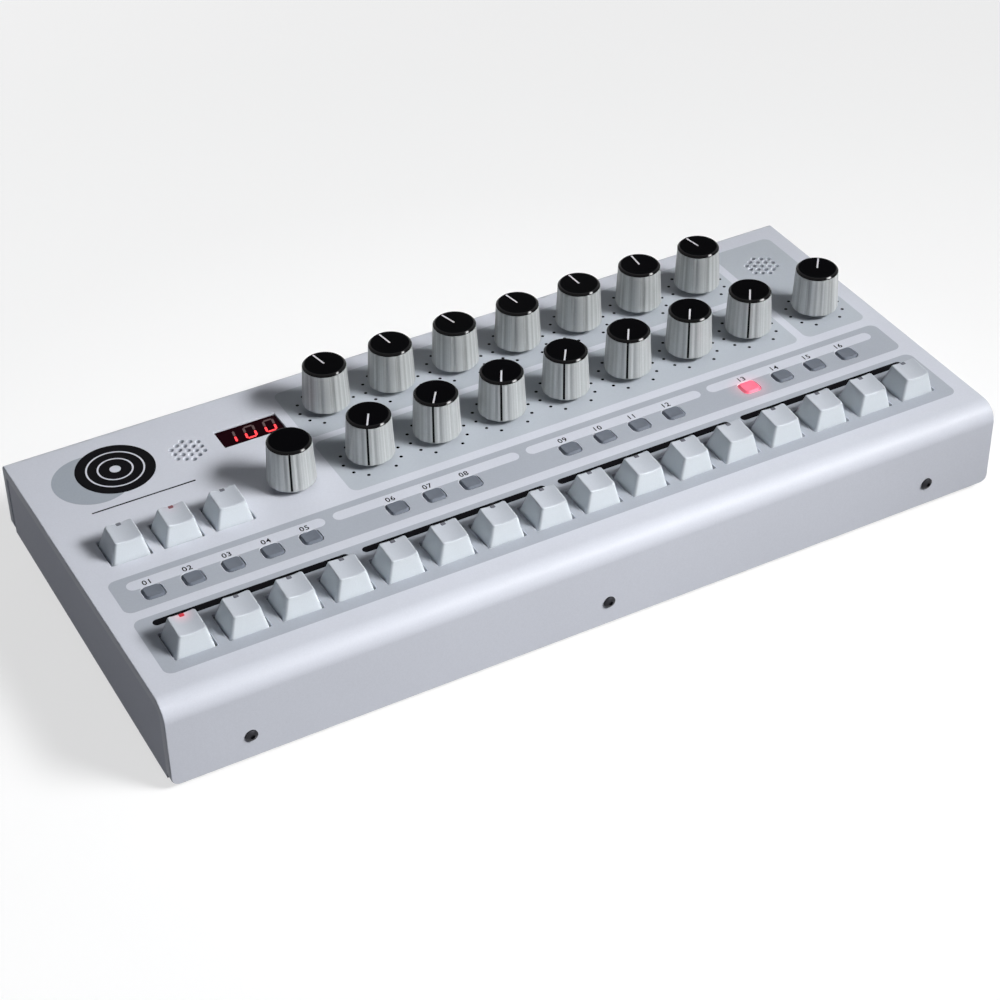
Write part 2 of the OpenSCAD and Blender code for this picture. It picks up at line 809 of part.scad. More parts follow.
module power_inlet() {
    difference() {
        union() {
            translate([0, 0, -power_d]) block(2 * power_r, 2 * power_r, power_d);
            cylinder(h = sheet + 0.5, r = power_r);
        }
        translate([0, 0, 2 - power_d]) cylinder(h = power_d + sheet, r = power_bore_r);
    }
    translate([0, 0, 1 - power_d]) cylinder(h = power_d + sheet - 2, r = power_pin_r);
}

module rear_sockets() {
    color("dimgray") placed() translate([0, back_face, socket_z]) rotate([-90, 0, 0]) {
        for (x = large_xs()) translate([x, 0, 0]) large_jack();
        for (x = small_xs()) translate([x, 0, 0]) small_jack();
        translate([data_x, 0, 0]) data_socket();
        translate([power_x, 0, 0]) power_inlet();
    }
}

// Places its children on the slanted plane of a keycap's top, before the dish
module on_cap_top() {
    translate([0, cap_top_y, cap_rise]) rotate([cap_tilt, 0, 0]) children();
}

// Thin rounded plate that a keycap's hull starts and ends on
module cap_slice(w, d, r) {
    linear_extrude(0.01) rounded_rect(w, d, r, $fn = hull_fn);
}

// Tapered block of a keycap; wall takes its thickness off every side and roof off the top
module cap_block(wall, roof) {
    hull() {
        cap_slice(cap_base - 2 * wall, cap_base - 2 * wall, cap_base_r);
        on_cap_top() translate([0, 0, -roof])
            cap_slice(cap_top_w - 2 * wall, cap_top_d - 2 * wall, cap_top_r);
    }
}

// Light window's outline: round in front, open past the top's back edge by reach
module lens_shape(inset, reach) {
    r = lens_w / 2 - inset;
    front = cap_top_d / 2 - lens_d + lens_w / 2;
    translate([0, front]) circle(r);
    translate([-r, front]) square([2 * r, lens_d - lens_w / 2 + reach]);
}

// Keycap on its plunger: dished top, hollow inside, light window at the back edge
module key(x, y) {
    dish_r = (cap_top_w * cap_top_w / 4 + dish_depth * dish_depth) / (2 * dish_depth);
    boss_z = plunger_top_z + joint_gap - cap_foot_z;
    placed() translate([x, y, 0]) {
        color("whitesmoke") translate([0, 0, cap_foot_z]) difference() {
            union() {
                difference() {
                    cap_block(0, 0);
                    translate([0, 0, -joint_gap]) cap_block(cap_wall, cap_roof);
                }
                translate([0, 0, boss_z])
                    cylinder(h = cap_rise - cap_roof - boss_z, r = boss_r, $fn = 24);
            }
            on_cap_top() {
                translate([0, 0, dish_r - dish_depth]) rotate([90, 0, 0])
                    cylinder(h = 2 * cap_base, r = dish_r, center = true);
                translate([0, 0, -lens_h]) linear_extrude(lens_h + over)
                    lens_shape(0, over);
            }
        }
        color("maroon") translate([0, 0, cap_foot_z]) on_cap_top()
            translate([0, 0, joint_gap - lens_h])
                linear_extrude(lens_h - dish_depth - 2 * joint_gap)
                    lens_shape(joint_gap, 0);
        color("saddlebrown") translate([0, 0, plunger_low_z])
            block(plunger_w, plunger_d, plunger_top_z - plunger_low_z);
    }
}

// Translucent button: pad in the panel hole, ledge under it, post in the small switch
module button(x) {
    pad_w = button_hole_w - 2 * button_gap;
    pad_d = button_hole_d - 2 * button_gap;
    ledge_z = panel_under - button_gap - button_ledge_t;
    post_z = board_top + tact_floor + button_travel + end_room;
    color("silver") placed() translate([x, button_y, 0]) {
        translate([0, 0, ledge_z])
            rounded_slab(pad_w, pad_d, button_hole_r - button_gap,
                         panel_z + button_up - ledge_z);
        translate([0, 0, ledge_z])
            rounded_slab(pad_w + 2 * button_ledge, pad_d + 2 * button_ledge,
                         button_hole_r, button_ledge_t);
        translate([0, 0, post_z]) cylinder(h = ledge_z - post_z + over / 2, r = post_r);
    }
}

// Knob with its shaft: hollow skirt with a groove, and dark cap with or without a line
module knob(x, y, turn, line = true) {
    bore_r = shaft_r + shaft_fit;
    bore_h = skirt_h - 3;
    shaft_z = board_top + pot_floor + shaft_fit;
    slope = atan2(knob_foot_r - knob_top_r, skirt_h);
    placed() translate([x, y, 0]) rotate([0, 0, -turn]) {
        color("silver") translate([0, 0, knob_foot_z]) difference() {
            rotate_extrude() polygon([
                [knob_foot_r - skirt_wall, 0], [knob_foot_r, 0],
                [knob_top_r, skirt_h], [0, skirt_h], [0, bore_h],
                [bore_r, bore_h], [bore_r, knob_hollow],
                [knob_foot_r - skirt_wall, knob_hollow]
            ]);
            translate([0, knob_foot_r, 0]) rotate([slope, 0, 0])
                translate([-pointer_w / 2, -pointer_depth, groove_up])
                    cube([pointer_w, over, skirt_h + over]);
        }
        color("black") translate([0, 0, skirt_top_z + joint_gap]) difference() {
            rotate_extrude() polygon([
                [0, 0], [knob_top_r, 0], [knob_top_r, knob_cap_h - knob_bevel],
                [knob_top_r - knob_bevel, knob_cap_h], [0, knob_cap_h]
            ]);
            if (line) translate([-pointer_w / 2, -pointer_tail, knob_cap_h - pointer_depth])
                cube([pointer_w, pointer_tail + pointer_tip, over]);
        }
        color("gray") translate([0, 0, shaft_z])
            cylinder(h = knob_foot_z + bore_h - joint_gap - shaft_z, r = shaft_r);
    }
}

top_cover();
base_tray();
case_screws();
rubber_feet();
control_board();
switch_and_pot_bodies();
display_module();
speakers();
rear_sockets();
for (i = [0:key_count - 1])
    key(key_x(i), step_key_y);
for (i = [0:transport_count - 1])
    key(key_x(i), transport_key_y);
for (i = [0:button_count - 1])
    button(button_xs()[i]);
for (i = [0:knob_count - 1]) {
    knob(knob_x(i), front_knob_y, front_turns[i]);
    knob(knob_x(i), back_knob_y, back_turns[i]);
}
knob(volume_x, front_knob_y, volume_turn);  // volume_knob
knob(encoder_x, front_knob_y, encoder_turn, false);  // encoder_knob
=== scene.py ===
"""Looks of a desktop drum machine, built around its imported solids.

Places are in case millimetres: X runs from the middle of the case to the right, Y from the
front flange to the back, Z up from the table. They become row metres when a mesh is made.
"""

import logging
import math
from dataclasses import dataclass, field, replace
from enum import Enum

import bmesh
import bpy
import numpy as np
from mathutils import Matrix, Vector, geometry


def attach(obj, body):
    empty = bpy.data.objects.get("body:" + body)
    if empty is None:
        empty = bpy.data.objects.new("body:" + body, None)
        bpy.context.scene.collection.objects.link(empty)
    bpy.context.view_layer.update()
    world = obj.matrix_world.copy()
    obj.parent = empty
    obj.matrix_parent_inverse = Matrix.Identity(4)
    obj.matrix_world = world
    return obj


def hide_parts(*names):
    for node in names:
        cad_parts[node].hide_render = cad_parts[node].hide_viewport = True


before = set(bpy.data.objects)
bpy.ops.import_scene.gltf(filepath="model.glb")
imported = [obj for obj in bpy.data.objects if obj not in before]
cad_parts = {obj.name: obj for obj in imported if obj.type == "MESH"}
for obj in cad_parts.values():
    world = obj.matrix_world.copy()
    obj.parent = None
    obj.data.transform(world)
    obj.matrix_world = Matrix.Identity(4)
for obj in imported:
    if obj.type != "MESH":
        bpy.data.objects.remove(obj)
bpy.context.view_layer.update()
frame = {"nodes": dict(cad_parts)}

Array = np.ndarray
Surface = tuple[Array, list[Array]]
Colour = tuple[float, float, float]

log = logging.getLogger("drum_machine")

MILLIMETRE = 0.001
PANEL = 45.8
CASE_DEPTH = 190.0
SOCKET_REACH = 3.0
SCREW_REACH = 1.65
MIDDLE_Y = (CASE_DEPTH + SOCKET_REACH - SCREW_REACH) / 2
WELD = 0.000002
TINY = 1e-7
CASE = "case"
LOCAL = "local"
NOISE_SPAN = (0.3, 0.7)
MIX_COLOURS = (6, 7)
MIX_RESULT = 2
BLACK: Colour = (0.0, 0.0, 0.0)
WHITE: Colour = (1.0, 1.0, 1.0)


def srgb(red: int, green: int, blue: int) -> Colour:
    """Turns a screen colour of 0 to 255 into the linear colour that nodes take.

    Args:
        red: Red part.
        green: Green part.
        blue: Blue part.

    Returns:
        Linear red, green and blue.
    """
    parts = np.array([red, green, blue]) / 255.0
    low = parts / 12.92
    high = ((parts + 0.055) / 1.055) ** 2.4
    return tuple(float(v) for v in np.where(parts <= 0.04045, low, high))


# ---------------------------------------------------------------- shader maths


class Wire:
    """A number that leaves a shader node, ready for sums with others."""

    def __init__(self, graph: "Graph", socket: bpy.types.NodeSocket) -> None:
        """Keeps the graph and the socket."""
        self.graph = graph
        self.socket = socket

    def apply(self, operation: str, *others: "Wire | float", clamp: bool = False) -> "Wire":
        """Feeds this number and others to one Math node.

        Args:
            operation: Name of the Math node's operation.
            others: Second and third operand.
            clamp: Whether the result is kept between 0 and 1.

        Returns:
            The result.
        """
        settings = {"operation": operation, "use_clamp": clamp}
        node = self.graph.node("ShaderNodeMath", settings, dict(enumerate((self, *others))))
        return Wire(self.graph, node.outputs[0])

    def __add__(self, other: "Wire | float") -> "Wire":
        """Sum."""
        return self.apply("ADD", other)

    __radd__ = __add__

    def __mul__(self, other: "Wire | float") -> "Wire":
        """Product."""
        return self.apply("MULTIPLY", other)

    __rmul__ = __mul__

    def __sub__(self, other: "Wire | float") -> "Wire":
        """Difference."""
        return self.apply("SUBTRACT", other)

    def __rsub__(self, other: float) -> "Wire":
        """Difference from a plain number."""
        return (self * -1.0) + other

    def __truediv__(self, other: "Wire | float") -> "Wire":
        """Quotient."""
        return self.apply("DIVIDE", other)

    def __pow__(self, other: float) -> "Wire":
        """Power."""
        return self.apply("POWER", other)

    def size(self) -> "Wire":
        """Distance from zero."""
        return self.apply("ABSOLUTE")

    def rise(self, low: float, high: float) -> "Wire":
        """Straight ramp from 0 at low to 1 at high, level outside them."""
        return (self - low).apply("DIVIDE", high - low, clamp=True)

    def mixed(self, share: float, other: "Wire") -> "Wire":
        """This number times a share, plus another times the rest of 1."""
        return self * share + other * (1.0 - share)


class Graph:
    """The node tree of one finish or of the world."""

    def __init__(self, owner: bpy.types.Material | bpy.types.World) -> None:
        """Empties the tree of a new material or world.

        Args:
            owner: The material or world.
        """
        owner.use_nodes = True
        self.owner = owner
        self.tree = owner.node_tree
        self.tree.nodes.clear()

    def node(self, kind: str, settings: dict | None = None,
             sockets: dict | None = None) -> bpy.types.Node:
        """Adds a node, sets what it is, then feeds its sockets.

        Args:
            kind: Blender's name of the node's type.
            settings: Properties of the node.
            sockets: Values, wires or sockets by the name or number of the input.

        Returns:
            The node.
        """
        node = self.tree.nodes.new(kind)
        for key, value in (settings or {}).items():
            setattr(node, key, value)
        for key, value in (sockets or {}).items():
            self.feed(node.inputs[key], value)
        return node

    def feed(self, socket: bpy.types.NodeSocket, value: object) -> None:
        """Links a wire or socket to an input, or sets a plain value on it.

        Args:
            socket: The input.
            value: Wire, output socket, number or colour.
        """
        if isinstance(value, Wire):
            value = value.socket
        if isinstance(value, bpy.types.NodeSocket):
            self.tree.links.new(value, socket)
        elif socket.type == "RGBA" and len(value) == 3:
            socket.default_value = (*value, 1.0)
        else:
            socket.default_value = value

    def place(self) -> bpy.types.NodeSocket:
        """Object coordinates, which are row metres."""
        return self.node("ShaderNodeTexCoord").outputs["Object"]

    def local(self) -> bpy.types.NodeSocket:
        """Millimetres from the middle of a repeated piece, turning with it."""
        return self.node("ShaderNodeAttribute", {"attribute_name": LOCAL}).outputs["Vector"]

    def split(self, vector: bpy.types.NodeSocket) -> list[Wire]:
        """Parts of a vector.

        Args:
            vector: The vector.

        Returns:
            Its X, Y and Z.
        """
        node = self.node("ShaderNodeSeparateXYZ", None, {0: vector})
        return [Wire(self, s) for s in node.outputs]

    def far(self, x: Wire, y: Wire) -> Wire:
        """Distance from zero of a place given by two numbers."""
        return (x * x + y * y).apply("SQRT")

    def stretched(self, vector: bpy.types.NodeSocket,
                  factors: Colour) -> bpy.types.NodeSocket:
        """Vector times three factors."""
        return self.node("ShaderNodeVectorMath", {"operation": "MULTIPLY"},
                         {0: vector, 1: factors}).outputs[0]

    def noise(self, scale: float, detail: float,
              vector: bpy.types.NodeSocket | None = None) -> Wire:
        """Soft noise between 0 and 1.

        Args:
            scale: Lumps per unit of the vector.
            detail: Octaves.
            vector: Where it is read; object coordinates if none.

        Returns:
            The noise.
        """
        node = self.node("ShaderNodeTexNoise", None, {
            "Vector": vector or self.place(), "Scale": scale, "Detail": detail})
        return Wire(self, node.outputs[0])

    def blend(self, factor: "Wire | float", first: object, second: object) -> bpy.types.NodeSocket:
        """Mixes two colours.

        Args:
            factor: 0 for the first, 1 for the second.
            first: Colour or socket.
            second: Colour or socket.

        Returns:
            The mixed colour.
        """
        settings = {"data_type": "RGBA", "clamp_factor": True}
        sockets = {0: factor, **dict(zip(MIX_COLOURS, (first, second)))}
        return self.node("ShaderNodeMix", settings, sockets).outputs[MIX_RESULT]

    def shade(self, colour: Colour, cloud: Wire, amount: float) -> bpy.types.NodeSocket:
        """Colour made darker and lighter by a cloud.

        Args:
            colour: The middle colour.
            cloud: Noise between 0 and 1.
            amount: Share of the colour that the cloud moves it by, each way.

        Returns:
            The shaded colour.
        """
        dark = tuple(c * (1.0 - amount) for c in colour)
        light = tuple(min(1.0, c * (1.0 + amount)) for c in colour)
        return self.blend(cloud.rise(*NOISE_SPAN), dark, light)

    def sheen(self, cloud: Wire, middle: float, swing: float) -> Wire:
        """Roughness that a cloud moves about its middle value, by half of swing each way."""
        return (cloud - 0.5) * swing + middle

    def bump(self, height: Wire, depth: float) -> bpy.types.NodeSocket:
        """Normal bent by a height.

        Args:
            height: Height between 0 and 1.
            depth: Metres that a height of 1 stands for.

        Returns:
            The normal.
        """
        return self.node("ShaderNodeBump", None, {
            "Height": height, "Distance": depth, "Strength": 1.0}).outputs[0]

    def finish(self, sockets: dict) -> bpy.types.Material:
        """Ends the tree in a Principled shader.

        Args:
            sockets: Values, wires or sockets by the name of the shader's input.

        Returns:
            The material.
        """
        shader = self.node("ShaderNodeBsdfPrincipled", None, sockets)
        self.node("ShaderNodeOutputMaterial", None, {0: shader.outputs[0]})
        return self.owner


# ---------------------------------------------------------------- finishes


@dataclass(frozen=True)
class Paint:
    """Matt powder coat with fine orange peel; inks are printed on the same skin.

    It can also carry a painted glow: the pink light of one lit button beside it, emitted by the
    paint itself.
    """

    name: str
    colour: Colour
    roughness: float = 0.5
    specular: float = 0.2
    # Colour of the painted glow from a lit button nearby, and that button's place.
    glow: Colour | None = None
    lamp: tuple[float, float] = (0.0, 0.0)
    lamp_r: float = 3.0
    reach: float = 13.0
    painted_glow_strength: float = 0.32
    clouds: float = 11.0
    peel: float = 1300.0
    grain: float = 5200.0
    peel_depth: float = 0.00003
    peel_share: float = 0.7
    cloud_share: float = 0.4
    uneven: float = 0.05
    swing: float = 0.12

    def make(self) -> bpy.types.Material:
        """Builds the material; the painted glow falls with the square of what is left of its
        reach.

        Returns:
            The material.
        """
        graph = Graph(bpy.data.materials.new(self.name))
        cloud = graph.noise(self.clouds, 3.0)
        peel = graph.noise(self.peel, 3.0).mixed(self.peel_share, graph.noise(self.grain, 2.0))
        mix = cloud.mixed(self.cloud_share, peel)
        sockets = {
            "Base Color": graph.shade(self.colour, mix, self.uneven),
            "Roughness": graph.sheen(cloud, self.roughness, self.swing),
            "Specular IOR Level": self.specular,
            "Normal": graph.bump(peel, self.peel_depth),
        }
        # Painted glow: the paint emits the lit button's pink light around it.
        if self.glow:
            x, y, _ = graph.split(graph.place())
            far = graph.far(x / MILLIMETRE - self.lamp[0],
                            y / MILLIMETRE - (self.lamp[1] - MIDDLE_Y))
            glow = (1.0 - far.rise(self.lamp_r, self.reach)) ** 2.0
            sockets["Emission Color"] = graph.blend(glow, BLACK, self.glow)
            sockets["Emission Strength"] = self.painted_glow_strength
        return graph.finish(sockets)


@dataclass(frozen=True)
class Moulding:
    """Moulded plastic with a spark-eroded grain and faint flow clouds."""

    name: str
    colour: Colour
    roughness: float = 0.45
    grain: float = 2600.0
    depth: float = 0.00002
    specular: float = 0.5
    coat: float = 0.0
    clouds: float = 60.0
    cloud_share: float = 0.7
    uneven: float = 0.03
    swing: float = 0.12

    def make(self) -> bpy.types.Material:
        """Builds the material.

        Returns:
            The material.
        """
        graph = Graph(bpy.data.materials.new(self.name))
        cloud = graph.noise(self.clouds, 3.0)
        grain = graph.noise(self.grain, 3.0)
        mix = cloud.mixed(self.cloud_share, grain)
        return graph.finish({
            "Base Color": graph.shade(self.colour, mix, self.uneven),
            "Roughness": graph.sheen(cloud, self.roughness, self.swing),
            "Specular IOR Level": self.specular,
            "Coat Weight": self.coat,
            "Normal": graph.bump(grain, self.depth),
        })


@dataclass(frozen=True)
class KeyPlastic:
    """Satin white plastic of the caps, finer grained on the dished top, which takes a greyer
    colour as painted shade.
    """

    name: str
    side: Colour
    # Colour of the dished top: the side colour darkened as painted shade.
    top: Colour
    # Colour of the painted glow that the lit window spreads on the cap.
    glow: Colour = BLACK
    edge_x: float = 6.1
    low_y: float = -7.75
    high_y: float = 4.75
    soft: float = 0.35
    shoulder: tuple[float, float] = (10.0, 10.6)
    window_y: float = 3.9
    window_r: float = 0.8
    reach: float = 7.0
    roughness: float = 0.42
    specular: float = 0.4
    clouds: float = 60.0
    grain: float = 2600.0
    grain_depth: float = 0.00003
    cloud_share: float = 0.4
    side_uneven: float = 0.045
    top_uneven: float = 0.06
    top_rougher: float = 0.1
    swing: float = 0.1

    def make(self) -> bpy.types.Material:
        """Builds the material; the top, painted greyer as shade, is where the cap's own X and Y
        lie inside its rim.

        The window's painted glow on the cap falls with the square of what is left of its reach.

        Returns:
            The material.
        """
        graph = Graph(bpy.data.materials.new(self.name))
        x, y, z = graph.split(graph.local())
        # Mask of the dished top, whose greyer colour is painted shade.
        inside = (1.0 - x.size().rise(self.edge_x - self.soft, self.edge_x + self.soft)) \
            * y.rise(self.low_y - self.soft, self.low_y + self.soft) \
            * (1.0 - y.rise(self.high_y, self.high_y + self.soft)) * z.rise(*self.shoulder)
        cloud = graph.noise(self.clouds, 3.0)
        grain = graph.noise(self.grain, 3.0)
        mix = cloud.mixed(self.cloud_share, grain)
        # Painted glow: the cap emits the window's light around it.
        far = graph.far(x, y - self.window_y)
        glow = (1.0 - far.rise(self.window_r, self.reach)) ** 2.0
        return graph.finish({
            "Base Color": graph.blend(inside, graph.shade(self.side, mix, self.side_uneven),
                                      graph.shade(self.top, mix, self.top_uneven)),
            "Roughness": (inside * self.top_rougher
                          + graph.sheen(cloud, self.roughness, self.swing)),
            "Specular IOR Level": self.specular,
            "Normal": graph.bump(grain, self.grain_depth),
            "Emission Color": graph.blend(glow, BLACK, self.glow),
            "Emission Strength": 1.0,
        })


@dataclass(frozen=True)
class StreaksAndPaintedSheen:
    """Turned and bead-blasted skirt with upright streaks, partly turning marks and partly painted
    sheen and shade: the light and dark bands of the flutes.
    """

    name: str
    colour: Colour
    roughness: float = 0.42
    metallic: float = 0.3
    specular: float = 0.2
    wide: float = 6.0
    fine: float = 38.0
    grain: float = 2200.0
    shares: tuple[float, ...] = (0.6, 0.3, 0.1)
    contrast: float = 0.42
    swing: float = 0.2
    relief_share: float = 0.6
    depth: float = 0.00004

    def make(self) -> bpy.types.Material:
        """Builds the material; the streaks are noise on the direction from the axis.

        Wide streaks, fine ones and grain each have their share of the colour; the strong contrast
        paints the flutes' sheen and shade into it.

        Returns:
            The material.
        """
        graph = Graph(bpy.data.materials.new(self.name))
        level = graph.stretched(graph.local(), (1.0, 1.0, 0.0))
        around = graph.node("ShaderNodeVectorMath", {"operation": "NORMALIZE"}, {0: level})
        wide = graph.noise(self.wide, 2.0, around.outputs[0])
        fine = graph.noise(self.fine, 3.0, around.outputs[0])
        grain = graph.noise(self.grain, 2.0)
        # Streaks as painted sheen and shade, with some real turning marks.
        streak_and_sheen = wide * self.shares[0] + fine * self.shares[1] + grain * self.shares[2]
        return graph.finish({
            "Base Color": graph.shade(self.colour, streak_and_sheen, self.contrast),
            "Roughness": graph.sheen(fine, self.roughness, self.swing),
            "Metallic": self.metallic,
            "Specular IOR Level": self.specular,
            "Normal": graph.bump(fine.mixed(self.relief_share, grain), self.depth),
        })


@dataclass(frozen=True)
class Metal:
    """Bare or oxidised metal with fine machining marks."""

    name: str
    colour: Colour
    roughness: float
    marks: Colour = (9000.0, 1800.0, 9000.0)
    clouds: float = 300.0
    uneven: float = 0.12
    swing: float = 0.2
    depth: float = 0.00001

    def make(self) -> bpy.types.Material:
        """Builds the material.

        Returns:
            The material.
        """
        graph = Graph(bpy.data.materials.new(self.name))
        marks = graph.noise(1.0, 3.0, graph.stretched(graph.place(), self.marks))
        cloud = graph.noise(self.clouds, 2.0)
        return graph.finish({
            "Base Color": graph.shade(self.colour, cloud, self.uneven),
            "Metallic": 1.0,
            "Roughness": graph.sheen(marks, self.roughness, self.swing),
            "Normal": graph.bump(marks, self.depth),
        })


@dataclass(frozen=True)
class Lamp:
    """Translucent plastic lit from behind, brighter in its middle."""

    name: str
    colour: Colour
    light: Colour
    strength: float
    spread: float
    fall: float = 0.45
    roughness: float = 0.4
    grain: float = 3000.0
    depth: float = 0.00001
    uneven: float = 0.04
    swing: float = 0.1

    def make(self) -> bpy.types.Material:
        """Builds the material; the light falls from the middle of the piece outwards.

        Returns:
            The material.
        """
        graph = Graph(bpy.data.materials.new(self.name))
        x, y, _ = graph.split(graph.local())
        even = 1.0 - graph.far(x, y).rise(0.0, self.spread) * self.fall
        grain = graph.noise(self.grain, 2.0)
        return graph.finish({
            "Base Color": graph.shade(self.colour, grain, self.uneven),
            "Roughness": graph.sheen(grain, self.roughness, self.swing),
            "Emission Color": graph.blend(even, BLACK, self.light),
            "Emission Strength": self.strength,
            "Normal": graph.bump(grain, self.depth),
        })


@dataclass(frozen=True)
class SolderMask:
    """Lacquered board with tracks that show through the lacquer."""

    name: str
    colour: Colour
    track: Colour
    tracks: float = 110.0
    track_w: float = 0.022
    track_soft: float = 0.3
    stagger: float = 0.37
    clouds: float = 90.0
    roughness: float = 0.32
    depth: float = 0.00003
    uneven: float = 0.1
    swing: float = 0.1

    def make(self) -> bpy.types.Material:
        """Builds the material; the tracks are the joints of a brick pattern.

        Returns:
            The material.
        """
        graph = Graph(bpy.data.materials.new(self.name))
        bricks = graph.node("ShaderNodeTexBrick", {"offset": self.stagger}, {
            "Vector": graph.place(), "Scale": self.tracks, "Mortar Size": self.track_w,
            "Mortar Smooth": self.track_soft})
        joint = Wire(graph, bricks.outputs["Fac"])
        cloud = graph.noise(self.clouds, 2.0)
        lacquer = graph.shade(self.colour, cloud, self.uneven)
        return graph.finish({
            "Base Color": graph.blend(joint, lacquer, self.track),
            "Roughness": graph.sheen(cloud, self.roughness, self.swing),
            "Normal": graph.bump(joint, self.depth),
        })


# ---------------------------------------------------------------- surfaces


def arc(centre: tuple[float, float], radius: float, start: float, end: float,
        steps: int) -> Array:
    """Points on a circle's arc: centre plus radius times cosine and sine.

    Args:
        centre: Middle of the circle.
        radius: Its radius.
        start: First angle in degrees.
        end: Last angle in degrees.
        steps: Number of pieces.

    Returns:
        Array of steps + 1 points.
    """
    angle = np.radians(np.linspace(start, end, steps + 1))
    return np.stack([centre[0] + radius * np.cos(angle),
                     centre[1] + radius * np.sin(angle)], axis=1)


def rounded_box_line(width: float, depth: float, radius: float, corner: int = 5,
                     side: int = 1) -> Array:
    """Closed outline of a rectangle with round corners, anticlockwise.

    Args:
        width: Size in X.
        depth: Size in Y.
        radius: Radius of the corners.
        corner: Pieces of each corner.
        side: Pieces of each straight side.

    Returns:
        Array of points, 4 * (corner + side) of them.
    """
    x, y = width / 2 - radius, depth / 2 - radius
    parts: list[Array] = []
    corners = [arc(c, radius, a, a + 90, corner)
               for c, a in (((x, -y), -90), ((x, y), 0), ((-x, y), 90), ((-x, -y), 180))]
    for this, following in zip(corners, corners[1:] + corners[:1]):
        share = np.linspace(0, 1, side + 1)[1:-1, None]
        parts += [this, this[-1] * (1 - share) + following[0] * share]
    return np.concatenate(parts)


@dataclass(frozen=True)
class Disc:
    """Round outline on a flat face."""

    x: float
    y: float
    radius: float
    steps: int

    def grown(self, grow: float) -> "Disc":
        """The outline moved out by grow."""
        return replace(self, radius=self.radius + grow)

    def line(self) -> Array:
        """Closed outline."""
        return arc((self.x, self.y), self.radius, 0, 360, self.steps)[:-1]

    def holds(self, points: Array) -> Array:
        """Whether each point lies inside the polygon: its distance along a side's middle.

        Args:
            points: Places on the face.

        Returns:
            One truth value for each point.
        """
        far = points - (self.x, self.y)
        wedge = math.pi / self.steps
        angle = np.arctan2(far[:, 1], far[:, 0]) % (2 * wedge) - wedge
        return np.hypot(far[:, 0], far[:, 1]) * np.cos(angle) < self.radius * math.cos(wedge)


@dataclass(frozen=True)
class Slab:
    """Rectangle with round corners on a flat face."""

    x: float
    y: float
    width: float
    depth: float
    radius: float
    corner: int = 5

    def grown(self, grow: float) -> "Slab":
        """The outline moved out by grow."""
        return replace(self, width=self.width + 2 * grow, depth=self.depth + 2 * grow,
                       radius=self.radius + grow)

    def line(self) -> Array:
        """Closed outline."""
        return (self.x, self.y) + rounded_box_line(self.width, self.depth, self.radius,
                                                   self.corner)

    def holds(self, points: Array) -> Array:
        """Whether each point lies inside, by the distance past the corners' middles.

        Args:
            points: Places on the face.

        Returns:
            One truth value for each point.
        """
        far = np.abs(points - (self.x, self.y))
        far -= (self.width / 2 - self.radius, self.depth / 2 - self.radius)
        past = np.maximum(far, 0.0)
        return np.hypot(past[:, 0], past[:, 1]) < self.radius


Shape = Disc | Slab


def quads_of(index: Array) -> Array:
    """Four-sided faces between the rows of a grid whose columns close round.

    Args:
        index: Numbers of the points, rows by columns.

    Returns:
        Faces, rows less one by columns by four.
    """
    low, high = index[:-1], index[1:]
    return np.stack([low, np.roll(low, -1, axis=1), np.roll(high, -1, axis=1), high], axis=-1)


def loft(rings: Array, closed: bool = True) -> Surface:
    """Joins closed rings, one after another, with four-sided faces.

    With anticlockwise rings the faces look outwards when the rings run from the bottom's
    middle out, up the side and in over the top.

    Args:
        rings: Array of rings by points by three.
        closed: Whether a fan closes the first and the last ring.

    Returns:
        The points, and the arrays of four-sided and three-sided faces.
    """
    count, around, _ = rings.shape
    index = np.arange(count * around).reshape(count, around)
    points, faces = rings.reshape(-1, 3), [quads_of(index).reshape(-1, 4)]
    for ring, turn in ((index[0], -1), (index[-1], 1)) if closed else ():
        pole = np.full(around, len(points))
        points = np.vstack([points, points[ring].mean(axis=0)])
        pair = [ring, np.roll(ring, -1)][::turn]
        faces.append(np.stack([*pair, pole], axis=-1))
    return points, faces


def raised(outline: Array, height: float) -> Array:
    """Ring from an outline, lifted to a height."""
    return np.column_stack([outline, np.full(len(outline), height)])


def stack(outlines: list[Array], heights: list[float]) -> Array:
    """Rings from outlines of equal count, each lifted to its height."""
    return np.stack([raised(outline, height) for outline, height in zip(outlines, heights)])


def lifted(flat: Array, lift: Array) -> Array:
    """Points of a face's own two directions, carried to case millimetres by its matrix."""
    return np.column_stack([flat, np.ones(len(flat))]) @ lift


def lathe(profile: Array, steps: int) -> Array:
    """Rings of a turned shape: radius times cosine and sine of the angle, and the height.

    Args:
        profile: Array of radius and height.
        steps: Points around.

    Returns:
        Array of rings by points by three.
    """
    angle = np.linspace(0, 2 * np.pi, steps, endpoint=False)
    radius, height = profile[:, :1], profile[:, 1:]
    return np.stack([radius * np.cos(angle), radius * np.sin(angle),
                     np.broadcast_to(height, (len(profile), steps))], axis=-1)


def rounded_profile(points: list[tuple[float, float, float]], steps: int) -> Array:
    """Line through points whose corners are round, as arcs that touch both sides.

    Args:
        points: Radius, height and corner radius of each point; 0 keeps a sharp corner.
        steps: Pieces of each arc.

    Returns:
        Array of radius and height.
    """
    rows = np.array(points)
    out = [rows[:1, :2]]
    for before, here, after in zip(rows, rows[1:], rows[2:]):
        to_before = (before - here)[:2] / np.linalg.norm((before - here)[:2])
        to_after = (after - here)[:2] / np.linalg.norm((after - here)[:2])
        half = math.acos(float(np.clip(to_before @ to_after, -1, 1))) / 2
        if here[2] <= 0:
            out.append(here[None, :2])
            continue
        centre = here[:2] + (to_before + to_after) / np.linalg.norm(to_before + to_after) \
            * here[2] / math.sin(half)
        reach = here[2] / math.tan(half)
        start, end = here[:2] + to_before * reach - centre, here[:2] + to_after * reach - centre
        sweep, share = math.pi - 2 * half, np.linspace(0, 1, steps + 1)[:, None]
        out.append(centre + (np.sin((1 - share) * sweep) * start
                             + np.sin(share * sweep) * end) / math.sin(sweep))
    return np.vstack([*out, rows[-1:, :2]])


